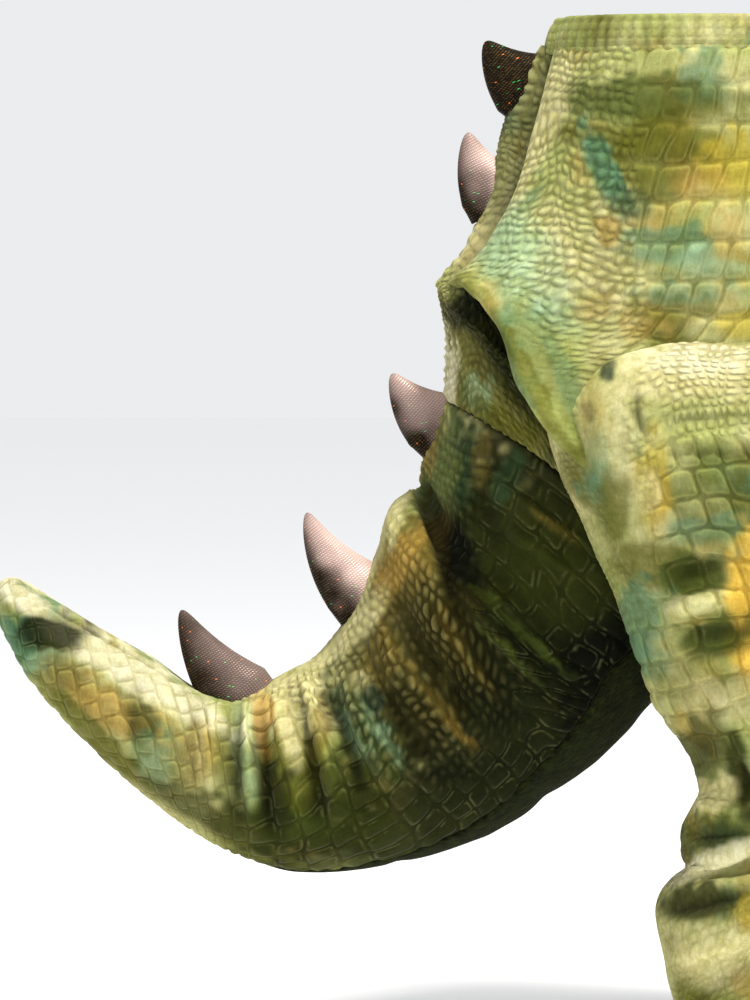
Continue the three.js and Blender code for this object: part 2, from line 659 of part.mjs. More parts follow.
// Eyes: domes on the sides of the head.
function addEye(side, degrees) {
  const at = rowNamed(NECK, "brow") + 0.1;
  const dome = new THREE.SphereGeometry(EYE_RADIUS, 14, 8);
  const place = neck.point(at, degrees).addScaledVector(neck.normal(at, degrees), EYE_RISE - EYE_RADIUS);
  dome.translate(place.x, place.y, place.z);
  dome.deleteAttribute("normal");
  dome.deleteAttribute("uv");
  const merged = mergeVertices(dome, 1e-3);
  const ball = new wasm.Manifold(
    new wasm.Mesh({
      numProp: 3,
      vertProperties: merged.attributes.position.array,
      triVerts: new Uint32Array(merged.index.array),
    }),
  );
  const headForm = formOf(neck, HEAD_ROWS, neckAngles, SEAM);
  add("eye_" + side, less(ball, headForm), glossPlastic);
}

addWaistband();
addRidge();
addHips();
addRump();
addTail();
addLeg("right");
addLeg("left");
addNeck();
addSpikes();
addEye("right", 60);
addEye("left", 300);

export default costume;
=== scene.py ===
"""Looks of the ride-on dinosaur costume. Every panel is a thin shell on its solid's form, with its folds, its
embossed scales and its mottled colour, into which some light and shade are painted.

The tables, the points and the noise are in mm; only a finished mesh is in metres. A place on a tube is a section
number and an angle: 0 degrees is the centre back, 90 the wearer's right, 180 the centre front."""

import math

import bmesh
import bpy
import numpy as np
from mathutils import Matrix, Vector
from mathutils.bvhtree import BVHTree


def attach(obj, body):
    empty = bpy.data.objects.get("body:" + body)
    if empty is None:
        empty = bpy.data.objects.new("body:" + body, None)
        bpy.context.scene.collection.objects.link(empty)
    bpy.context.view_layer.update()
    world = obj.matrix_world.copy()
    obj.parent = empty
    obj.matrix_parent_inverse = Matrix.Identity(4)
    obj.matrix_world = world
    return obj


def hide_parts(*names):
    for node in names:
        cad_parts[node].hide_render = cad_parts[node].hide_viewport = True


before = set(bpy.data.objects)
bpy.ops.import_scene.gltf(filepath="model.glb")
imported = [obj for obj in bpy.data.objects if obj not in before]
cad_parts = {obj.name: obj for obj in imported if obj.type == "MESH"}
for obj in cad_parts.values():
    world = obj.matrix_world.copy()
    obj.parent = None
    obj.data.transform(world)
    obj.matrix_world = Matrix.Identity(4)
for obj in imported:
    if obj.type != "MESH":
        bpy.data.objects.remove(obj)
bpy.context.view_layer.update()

MM = 0.001
# The cloth's thickness on the body, on the head, and in an elastic casing.
CLOTH, HEAD_CLOTH, BAND_CLOTH = 2.0, 1.6, 3.4
# The grid's step on the side that is seen most, on the head, on the other panels, and on the gathered bands.
FINE = 2.0
HEAD_STEP = FINE + 0.6
PLAIN = 3.7
BAND_STEP = 1.6


def table(columns, *rows):
    """Rows that start with a name, under named columns."""
    return [dict(zip(("name", *columns), row)) for row in rows]


def profile(*rows):
    """A value in straight runs between places. Each row is a name, a place and the value there."""
    _, places, values = zip(*rows)
    return lambda x: np.interp(x, places, values)


def linear(*srgb):
    """A screen colour of 0 to 255 as a shader's colour."""
    return tuple((v / 255 / 12.92) if v < 11 else ((v / 255 + 0.055) / 1.055) ** 2.4 for v in srgb)


# ---------------------------------------------------------------- the tubes

SECTION = ("backX", "backZ", "frontX", "frontZ", "rightY", "leftY", "square", "bow")
BODY = table(
    SECTION,
    ("waist", -98, 0, 104, 0, -122, 122, 2.2, 0),
    ("high hip", -110, -38, 124, -40, -131, 131, 2.2, 0),
    ("hip", -122, -80, 155, -120, -142, 142, 2.3, 0),
    ("low hip", -134, -118, 178, -190, -152, 152, 2.3, 0),
    ("seat", -149, -148, 182, -265, -155, 155, 2.4, 0),
    ("low seat", -165, -170, 155, -335, -157, 157, 2.4, 0),
    ("above fold", -176, -184, 95, -395, -158, 158, 2.3, 0),
    ("fold", -181, -195, 25, -434, -154, 154, 2.2, -6),
    ("under fold", -177, -222, 18, -439, -120, 120, 2.1, 6),
    ("tail seam", -178, -273, 10, -452, -104, 104, 2.0, 22),
    ("tail root", -190, -308, -6, -472, -100, 100, 2.0, 14),
    ("tail crease", -202, -334, -30, -495, -97, 97, 2.0, 4),
    ("below crease", -217, -361, -55, -523, -98, 98, 2.0, 0),
    ("bend", -231, -396, -95, -555, -95, 95, 2.0, 0),
    ("lower bend", -247, -430, -139, -585, -89, 89, 2.0, 0),
    ("turn", -268, -456, -190, -604, -80, 80, 2.0, 0),
    ("level", -289, -469, -240, -613, -71, 71, 2.0, 0),
    ("spike five", -311, -480, -286, -614, -64, 64, 2.0, 0),
    ("rise", -335, -486, -326, -602, -56, 56, 2.0, 0),
    ("rising", -358, -480, -362, -583, -50, 50, 2.0, 0),
    ("slope", -391, -458, -403, -551, -45, 45, 2.0, 0),
    ("upper slope", -426, -437, -443, -512, -39, 39, 2.0, 0),
    ("near tip", -459, -417, -475, -476, -32, 32, 2.0, 0),
    ("tip", -482, -403, -495, -440, -22, 22, 2.0, 0),
    ("tip round", -493, -402, -501, -421, -12, 12, 2.0, 0),
    ("tip end", -498, -408, -502, -417, -5, 5, 2.0, 0),
)
LEG = table(
    SECTION,
    ("inside hip", -35, -216, 90, -216, -138, -70, 2.4, 0),
    ("crown", -78, -236, 122, -235, -166, -48, 2.8, 0),
    ("arch", -98, -254, 136, -254, -178, -36, 3.0, 0),
    ("haunch", -107, -279, 143, -276, -185, -28, 3.0, 0),
    ("thigh", -101, -312, 145, -306, -187, -24, 2.9, 0),
    ("low thigh", -81, -358, 139, -352, -184, -22, 2.6, 0),
    ("above knee", -60, -405, 131, -400, -177, -22, 2.3, 0),
    ("knee", -45, -445, 122, -440, -168, -24, 2.1, 0),
    ("calf", -31, -482, 112, -478, -158, -28, 2.0, 0),
    ("shin", -10, -513, 106, -506, -150, -33, 2.0, 0),
    ("hollow", 1, -543, 102, -530, -143, -39, 2.0, 0),
    ("roll rise", -4, -557, 105, -541, -146, -36, 2.0, 0),
    ("first roll", -11, -574, 109, -552, -150, -33, 2.0, 0),
    ("tuck", -6, -598, 103, -569, -143, -39, 2.0, 0),
    ("second rise", -20, -610, 110, -578, -151, -32, 2.0, 0),
    ("second roll", -29, -629, 116, -592, -156, -27, 2.0, 0),
    ("below roll", -24, -660, 111, -630, -152, -31, 2.0, 0),
    ("low cloth", -16, -697, 102, -676, -145, -38, 2.0, 0),
    ("hem", -4, -729, 91, -719, -137, -45, 2.0, 0),
    ("cuff end", -6, -759, 93, -749, -139, -43, 2.0, 0),
)
NECK = table(
    SECTION,
    ("inside chest", 66, -84, 118, -232, -88, 88, 2.0, 0),
    ("chest", 118, -60, 184, -214, -98, 98, 2.0, 0),
    ("low neck", 165, -28, 229, -160, -90, 90, 2.0, 0),
    ("mid neck", 212, 12, 267, -102, -78, 78, 2.0, 0),
    ("high neck", 258, 45, 300, -54, -67, 67, 2.0, 0),
    ("nape", 300, 76, 328, -22, -60, 60, 2.0, 0),
    ("jaw corner", 336, 97, 347, -14, -59, 59, 2.1, 0),
    ("cheek", 373, 111, 377, -29, -66, 66, 2.3, 0),
    ("brow", 411, 113, 413, -38, -69, 69, 2.3, 0),
    ("snout", 450, 99, 450, -40, -62, 62, 2.3, 0),
    ("mid snout", 487, 81, 486, -36, -55, 55, 2.3, 0),
    ("nostril", 521, 66, 519, -28, -47, 47, 2.3, 0),
    ("nose", 547, 45, 543, -15, -34, 34, 2.1, 0),
    ("nose round", 560, 24, 557, 2, -16, 16, 2.0, 0),
    ("nose end", 563, 17, 562, 9, -5, 5, 2.0, 0),
)
LEFT_STANCE, STANCE_TOP, STANCE_HEIGHT = 46, -240, 500

# The broad folds that the solids have too.
FOLD = ("at", "angle", "rise", "along", "round", "slant")
BODY_FOLDS = {}
BODY_FOLDS["right"] = table(
    FOLD,
    ("groove beside the back strip", 3.0, 14, -5, 2.6, 5, 0),
    ("rolled hip edge", 3.4, 25, 4, 2.6, 8, 0),
    ("seat bulge", 6.2, 34, 9, 1.1, 18, 0),
    ("drag to the leg", 6.0, 72, 6, 0.7, 22, -0.01),
    ("hollow above the leg", 5.0, 88, -6, 1.0, 18, 0.02),
    ("fold lip", 6.9, 58, 4, 0.35, 34, 0),
    ("tail crease", 11.1, 22, -13, 0.42, 34, 0.006),
    ("lip over the crease", 11.8, 20, 5, 0.5, 26, 0.006),
    ("upper drag", 10.2, 84, 4, 0.5, 26, -0.01),
    ("second crease", 13.2, 62, -6, 0.4, 30, 0.008),
    ("third crease", 15.0, 40, -5, 0.42, 34, 0.008),
    ("cross ridge", 15.9, 70, 4, 0.45, 34, 0.004),
    ("fourth crease", 17.0, 60, -4, 0.45, 32, 0.006),
    ("tip dimple", 22.0, 40, -4, 0.8, 20, 0),
)
BODY_FOLDS["left"] = table(
    FOLD,
    ("groove beside the back strip", 3.0, 14, -5, 2.6, 5, 0),
    ("rolled hip edge", 3.0, 26, 4, 2.5, 8, 0),
    ("seat bulge", 6.0, 32, 7, 1.2, 20, 0),
    ("drag to the leg", 5.5, 66, 6, 0.7, 20, -0.01),
    ("hollow above the leg", 4.6, 92, -5, 1.1, 20, 0.02),
    ("fold lip", 6.9, 54, 4, 0.35, 32, 0),
    ("tail crease", 11.3, 26, -11, 0.45, 30, 0.008),
    ("lip over the crease", 12.1, 24, 4, 0.5, 26, 0.006),
    ("upper drag", 10.0, 90, 4, 0.5, 24, -0.01),
    ("second crease", 13.8, 70, -6, 0.42, 28, 0.006),
    ("third crease", 15.6, 36, -4, 0.4, 30, 0.01),
    ("fourth crease", 17.6, 66, -4, 0.5, 30, 0.004),
    ("tip dimple", 21.4, 60, -3, 0.8, 22, 0),
)
LEG_FOLDS = {}
LEG_FOLDS["right"] = table(
    FOLD,
    ("dent under the arch", 3.6, 34, -5, 0.5, 14, 0),
    ("drag down the thigh", 5.2, 60, 4, 1.4, 16, 0.02),
    ("knee dent", 6.9, 62, -6, 0.5, 18, 0),
    ("knee dent, front", 7.0, 108, -6, 0.5, 16, 0),
    ("calf hollow", 9.9, 80, -7, 0.6, 26, 0),
    ("first roll", 12.1, 70, 5, 0.55, 44, 0),
    ("tuck", 13.1, 76, -7, 0.45, 44, 0),
    ("second roll", 15.1, 84, 6, 0.6, 46, 0),
    ("low tuck", 16.4, 66, -6, 0.5, 30, 0.004),
    ("inner tuck", 13.2, 262, -5, 0.6, 40, 0),
    ("inner roll", 15.0, 275, 4, 0.7, 44, 0),
)
LEG_FOLDS["left"] = table(
    FOLD,
    ("dent under the arch", 3.8, 40, -4, 0.5, 14, 0),
    ("drag down the thigh", 5.0, 70, 4, 1.3, 18, 0.02),
    ("knee dent", 7.2, 84, -6, 0.6, 20, 0),
    ("calf hollow", 9.6, 70, -6, 0.6, 28, 0),
    ("first roll", 11.9, 86, 5, 0.6, 42, 0),
    ("tuck", 13.0, 90, -7, 0.45, 46, 0),
    ("second roll", 14.9, 72, 6, 0.6, 48, 0),
    ("low tuck", 16.2, 100, -6, 0.5, 30, 0.004),
    ("inner tuck", 13.0, 268, -5, 0.6, 40, 0),
    ("inner roll", 15.2, 280, 4, 0.7, 44, 0),
)
NECK_FOLDS = {}
NECK_FOLDS["right"] = table(
    FOLD,
    ("bend crease", 2.6, 50, -5, 0.4, 30, 0.006),
    ("nape crease", 4.6, 60, -4, 0.4, 30, 0.006),
    ("brow ridge", 8.0, 42, 6, 0.6, 14, 0),
    ("eye hollow", 8.1, 62, -3, 0.5, 12, 0),
    ("cheek", 7.0, 84, 4, 0.6, 18, 0),
)
NECK_FOLDS["left"] = table(
    FOLD,
    ("bend crease", 2.9, 56, -5, 0.4, 30, 0.006),
    ("nape crease", 4.4, 54, -4, 0.4, 30, 0.006),
    ("brow ridge", 8.0, 42, 6, 0.6, 14, 0),
    ("eye hollow", 8.1, 62, -3, 0.5, 12, 0),
    ("cheek", 7.0, 84, 4, 0.6, 18, 0),
)


def smooth(x, low, high):
    t = np.clip((x - low) / (high - low), 0, 1)
    return t * t * (3 - 2 * t)


def turn_from_back(angle):
    """Degrees from the centre back, the same on either side."""
    return np.abs(np.mod(angle + 180, 360) - 180)


def fold_rise(folds, at, angle):
    total = 0
    for f in folds:
        round_ = angle - f["angle"]
        along = at - f["at"] - f["slant"] * round_
        total = total + f["rise"] * np.exp(-((along / f["along"]) ** 2) - (round_ / f["round"]) ** 2)
    return total


def sided_rise(folds):
    """The folds of the body or the neck. The two sides differ, and run into each other at the centre."""

    def rise(at, angle):
        side = turn_from_back(angle)
        right, left = fold_rise(folds["right"], at, side), fold_rise(folds["left"], at, side)
        share = smooth(side, 3, 20) * smooth(180 - side, 3, 20)
        own = np.where(np.mod(angle, 360) <= 180, right, left)
        return (right + left) / 2 * (1 - share) + own * share

    return rise


def leg_rise(folds):
    """The folds of a leg, which fade towards its seams behind and in front."""

    def rise(at, angle):
        from_seam = 90 - np.abs(90 - np.mod(angle, 180))
        return fold_rise(folds, at, np.mod(angle, 360)) * smooth(from_seam, 2, 16)

    return rise


class Tube:
    """A smooth surface through a table of sections, raised by its folds."""

    def __init__(self, rows, rise, mirrored=False):
        self.names = [row["name"] for row in rows]
        self.data = np.array([[row[c] for c in SECTION] for row in rows], float)
        self.rise, self.mirrored = rise, mirrored
        self.last = len(rows) - 1

    def row(self, name):
        return self.names.index(name)

    def bare(self, at, angle):
        """Points on the surface without its folds."""
        at = np.clip(at, 0, self.last)
        i = np.clip(np.floor(at).astype(int), 0, self.last - 1)
        t = (at - i)[..., None]
        a, b, c, d = (self.data[np.clip(i + k, 0, self.last)] for k in (-1, 0, 1, 2))
        s = b + 0.5 * t * (c - a + t * (2 * a - 5 * b + 4 * c - d + t * (3 * (b - c) + d - a)))
        bx, bz, fx, fz, ry, ly, square, bow = np.moveaxis(s, -1, 0)
        cos, sin = np.cos(np.radians(angle)), np.sin(np.radians(angle))
        along = np.sign(cos) * np.abs(cos) ** (2 / square)
        across = np.sign(sin) * np.abs(sin) ** (2 / square)
        hx, hz = (bx - fx) / 2, (bz - fz) / 2
        half, bend = np.hypot(hx, hz), bow * sin * sin
        y = (ry + ly) / 2 + (ry - ly) / 2 * across
        if self.mirrored:
            y = -y
        x = (bx + fx) / 2 + hx * along + hz / half * bend
        z = (bz + fz) / 2 + hz * along - hx / half * bend
        return np.stack(np.broadcast_arrays(x, y, z), -1)

    def normal(self, at, angle):
        """Unit normal, pointing away from the tube's middle line."""
        along = self.bare(at + 0.02, angle) - self.bare(at - 0.02, angle)
        around = self.bare(at, angle + 0.5) - self.bare(at, angle - 0.5)
        n = np.cross(along, around)
        n /= np.linalg.norm(n, axis=-1, keepdims=True) + 1e-9
        middle = (self.bare(at, 0 * angle) + self.bare(at, 0 * angle + 180)) / 2
        out = np.sum(n * (self.bare(at, angle) - middle), -1)
        return n * np.where(out.mean() < 0, -1.0, 1.0)

    def point(self, at, angle):
        return self.bare(at, angle) + self.normal(at, angle) * self.rise(at, angle)[..., None]


def stepped_forward(row):
    """A section of the left leg, which stands further forward the lower it is."""
    forward = LEFT_STANCE * max(0, (STANCE_TOP - row["backZ"]) / STANCE_HEIGHT)
    return {**row, "backX": row["backX"] + forward, "frontX": row["frontX"] + forward}


body = Tube(BODY, sided_rise(BODY_FOLDS))
neck = Tube(NECK, sided_rise(NECK_FOLDS))
legs = {
    "right": Tube(LEG, leg_rise(LEG_FOLDS["right"])),
    "left": Tube([stepped_forward(row) for row in LEG], leg_rise(LEG_FOLDS["left"]), mirrored=True),
}

# The waistband's lower edge, the back strip's half angle, and how far a panel runs on under a band.
BAND_END, RIDGE_EDGE, TUCKED = 0.72, 14, 0.12
under_seam = profile(
    ("waist", 0, 150),
    ("seat", 4, 146),
    ("fold", 7, 138),
    ("tail seam", 9, 132),
    ("crease", 11, 128),
    ("bend", 13, 138),
    ("turn", 15, 150),
    ("level", 16, 158),
    ("spike five", 17, 165),
    ("end", 18.3, 176),
    ("closed", 18.6, 179.7),
)
throat_seam = profile(("chest", 0, 128), ("jaw corner", neck.row("jaw corner"), 106))


# ---------------------------------------------------------------- grids, creases and scales


def noise(p, pitch, seed):
    """Smooth value noise from -1 to 1 at points in mm."""
    q = p / pitch + seed * 17.31
    cell = np.floor(q).astype(np.int64)
    t = q - cell
    t = t * t * (3 - 2 * t)

    def lattice(dx, dy, dz):
        n = (cell[..., 0] + dx) * 374761393 + (cell[..., 1] + dy) * 668265263 + (cell[..., 2] + dz) * 2147483647
        n = (n ^ (n >> 13)) * 1274126177 & 0xFFFFFFFF
        n = (n ^ (n >> 16)) & 0xFFFF
        return n / 32767.5 - 1

    def mix(a, b, w):
        return a + (b - a) * w

    xs = [
        [mix(lattice(0, dy, dz), lattice(1, dy, dz), t[..., 0]) for dy in (0, 1)]
        for dz in (0, 1)
    ]
    return mix(mix(xs[0][0], xs[0][1], t[..., 1]), mix(xs[1][0], xs[1][1], t[..., 1]), t[..., 2])


def ripple(p, seed, *waves):
    """A sum of noises, each with a height, a pitch and a seed of its own."""
    return sum(height * noise(p, pitch, seed + own) for height, pitch, own in waves)


def lay(tube, start, end, edges, step):
    """Section numbers and angles of a panel's grid, nearly evenly spaced on its surface, and how far each of its
    points lies across and down. edges gives the two border angles at a section."""

    def spread(at, columns):
        low, high = edges(at)
        angle = low[:, None] + (high - low)[:, None] * np.linspace(0, 1, columns)
        return angle, tube.point(at[:, None] + 0 * angle, angle)

    fine = np.linspace(start, end, 300)
    length = np.linalg.norm(np.diff(spread(fine, 25)[1], axis=0), axis=-1).mean(1)
    run = np.concatenate(([0], np.cumsum(length)))
    rows = max(4, round(run[-1] / step))
    at = np.interp(np.linspace(0, run[-1], rows + 1), run, fine)
    angle, p = spread(at, 97)
    arc = np.concatenate((np.zeros((rows + 1, 1)), np.cumsum(np.linalg.norm(np.diff(p, axis=1), axis=-1), 1)), 1)
    columns = max(4, round(arc[:, -1].max() / step))
    even = np.linspace(0, 1, columns + 1)
    angles = np.array([np.interp(even * arc[i, -1], arc[i], angle[i]) for i in range(rows + 1)])
    width = even * arc[:, -1:]
    height = np.linspace(0, run[-1], rows + 1)[:, None] + 0 * width
    return at[:, None] + 0 * angles, angles, width, height


def normals(p, like):
    """Unit normals of a grid of points, on the side of the given ones."""
    n = np.cross(np.gradient(p, axis=0), np.gradient(p, axis=1))
    n /= np.linalg.norm(n, axis=-1, keepdims=True) + 1e-9
    return n * np.sign(np.sum(n * like, -1).mean())


BEAD_PITCH = 10.5


def crease_height(tube, rows, p):
    """Soft ridges and troughs along listed lines, each through three places on the tube. A string is a ridge
    of beads."""
    total = np.zeros(p.shape[:-1])
    s = np.linspace(0, 1, 15)
    for c in rows:
        b = [(1 - s) * (1 - 2 * s), 4 * s * (1 - s), s * (2 * s - 1)]
        at = c["at0"] * b[0] + c["at1"] * b[1] + c["at2"] * b[2]
        angle = c["angle0"] * b[0] + c["angle1"] * b[1] + c["angle2"] * b[2]
        line = tube.point(at, angle)
        reach = 2.6 * c["width"]
        near = np.all((p > line.min(0) - reach) & (p < line.max(0) + reach), -1)
        q = p[near]
        if not len(q):
            continue
        best = np.full(len(q), 1e9)
        place = np.zeros(len(q))
        for k in range(len(line) - 1):
            a, d = line[k], line[k + 1] - line[k]
            t = np.clip(((q - a) @ d) / (d @ d), 0, 1)
            gap = np.linalg.norm(q - a - t[:, None] * d, axis=1)
            closer = gap < best
            best[closer], place[closer] = gap[closer], (k + t[closer]) / (len(line) - 1)
        fade = np.sin(np.pi * np.clip(place, 0.02, 0.98)) ** 0.7
        if "string" in c["name"] and c["rise"] > 0:
            length = np.linalg.norm(np.diff(line, axis=0), axis=1).sum()
            fade = fade * (0.72 + 0.28 * np.sin(place * length * math.tau / BEAD_PITCH))
        total[near] += c["rise"] * fade * np.exp(-((best / c["width"]) ** 2))
    return total


# How far from a seam the cloth rolls in and how deep, and the width from which a panel has its full rolls.
SEAM_ROLL, HIP_REAR_ROLL, HIP_LIP_ROLL, FULL_ROLL_WIDTH = (4.5, 3.2), (8, 7), (10, 9), 60


def edge_roll(width, height, rolls):
    """How far the cloth dips into the seams along its borders. rolls gives a radius and a depth for each side, both
    less where the panel is narrow."""
    gaps = {
        "low": width,
        "high": width[:, -1:] - width,
        "start": height,
        "end": height[-1:] - height,
    }
    total = 0
    narrow = np.clip(width[:, -1:] / FULL_ROLL_WIDTH, 0.25, 1)
    for side, (radius, depth) in rolls.items():
        t = np.clip(gaps[side] / (radius * narrow), 0, 1)
        total = np.minimum(total, -depth * narrow * (1 - np.sqrt(1 - (1 - t) ** 2)))
    return total


# The cells' corners, as a share of a cell, and how each row differs from the next.
LARGE_ROUND, PEBBLE_ROUND = 0.24, 0.42
ROW_SHIFT, ROW_STRETCH = 0.618, 0.382
ROW_NARROWEST, ROW_SPREAD = 0.76, 0.5


def cell_edges(u, v, corner):
    """Distance of each (u, v) from the edge of its cell. The cells have round corners and lie in rows, each with
    its own cell width and shift. The cloth's material draws the same cells."""
    row = np.floor(v)
    shifted = u * (ROW_NARROWEST + ROW_SPREAD * np.mod(row * ROW_STRETCH, 1)) + np.mod(row * ROW_SHIFT, 1)
    qu = np.abs(np.mod(shifted, 1) - 0.5) - (0.5 - corner)
    qv = np.abs(np.mod(v, 1) - 0.5) - (0.5 - corner)
    beyond = np.hypot(np.maximum(qu, 0), np.maximum(qv, 0))
    return corner - beyond - np.minimum(np.maximum(qu, qv), 0)


# ---------------------------------------------------------------- colour of the cloth, with painted light and shade

INK = {
    "ivory": linear(242, 236, 208),
    "cream": linear(226, 218, 172),
    "sage": linear(178, 184, 120),
    "pale_teal": linear(176, 204, 172),
    "teal": linear(104, 148, 122),
    "bottle": linear(72, 92, 62),
    "deep_teal": linear(56, 74, 60),
    "ochre": linear(196, 164, 92),
    "tan": linear(134, 118, 62),
    "umber": linear(76, 71, 30),
    "yellow": linear(212, 190, 78),
    "orange": linear(228, 168, 62),
    "amber": linear(244, 206, 104),
    "olive": linear(116, 116, 44),
    "moss": linear(66, 72, 24),
    "green": linear(88, 100, 44),
    "dark": linear(40, 46, 13),
    "black": linear(16, 20, 5),
}
ALBEDO, CONTRAST = 0.76, 1.2

# Soft patches of colour on the right side, as seen straight from the side, for each sort of panel: the cloth's
# mottling, and also painted shade and painted highlights, which are marked below. Broad ones come first. The left
# side has the same ones, shifted.
PATCH = ("x", "z", "rx", "rz", "turn", "ink", "share")
PATCHES = {}
PATCHES["back"] = table(
    PATCH,
    ("low end", -150, -158, 40, 16, 50, "cream", 0.7),
    ("corner", -176, -186, 14, 12, 0, "sage", 0.6),
)
PATCHES["hip"] = table(
    PATCH,
    # waist shade and top shade are painted shadow, darkening the top of the hips below the waist.
    ("waist shade", -30, -56, 76, 16, 0, "green", 0.8),
    ("olive band", -30, -86, 62, 13, -4, "olive", 0.8),
    ("rear edge", -119, -94, 70, 13, 64, "cream", 0.75),
    ("pale corner", -122, -176, 54, 26, -58, "pale_teal", 0.75),
    ("middle", -84, -178, 30, 26, 0, "cream", 0.35),
    ("streak", -62, -106, 34, 10, -66, "teal", 0.85),
    ("streak end", -42, -133, 14, 12, 0, "bottle", 0.6),
    # Painted shadow at the top of the hips.
    ("top shade", 16, -88, 60, 28, 0, "olive", 0.42),
    ("green cells", -22, -116, 18, 14, 0, "olive", 0.65),
    ("gold cells", 32, -104, 24, 22, 0, "yellow", 0.6),
    ("gold cells, inner", 8, -118, 20, 12, 0, "ochre", 0.45),
    ("teal cells", -16, -162, 36, 13, 0, "teal", 0.65),
    ("teal cells, front", 12, -176, 24, 12, 0, "pale_teal", 0.6),
    ("low cells", -4, -208, 42, 9, 0, "olive", 0.6),
    ("low teal", 2, -196, 40, 9, 0, "teal", 0.5),
    ("low gold", 38, -218, 18, 12, 0, "yellow", 0.6),
    ("ochre spot", -61, -153, 9, 10, 0, "ochre", 0.6),
    ("ochre smear", -68, -208, 18, 8, 20, "ochre", 0.35),
    ("fold corner", -168, -192, 16, 10, 0, "olive", 0.6),
    ("drop", -94, -268, 74, 16, -65, "sage", 0.7),
    ("drop shade", -98, -264, 70, 16, -65, "green", 0.16),
    ("drop teal", -88, -262, 40, 9, -65, "teal", 0.35),
    ("lip", -118, -254, 62, 6, -62, "olive", 0.65),
    ("lip end", -80, -318, 12, 14, 0, "olive", 0.6),
)
PATCHES["rump"] = table(
    PATCH,
    ("base", -130, -262, 80, 60, -50, "olive", 0.75),
    # shade, top corner and deep end are painted shade in the pocket under the hip's edge.
    ("shade", -124, -244, 70, 18, -58, "moss", 0.8),
    ("top corner", -166, -210, 14, 14, 0, "dark", 0.8),
    ("rear edge", -174, -252, 8, 38, 4, "ivory", 0.9),
    ("pale spot", -152, -268, 10, 13, 0, "pale_teal", 0.5),
    ("low edge", -132, -290, 36, 10, -30, "olive", 0.7),
    # Painted shade at the pocket's far end.
    ("deep end", -84, -312, 18, 14, 0, "dark", 0.7),
)
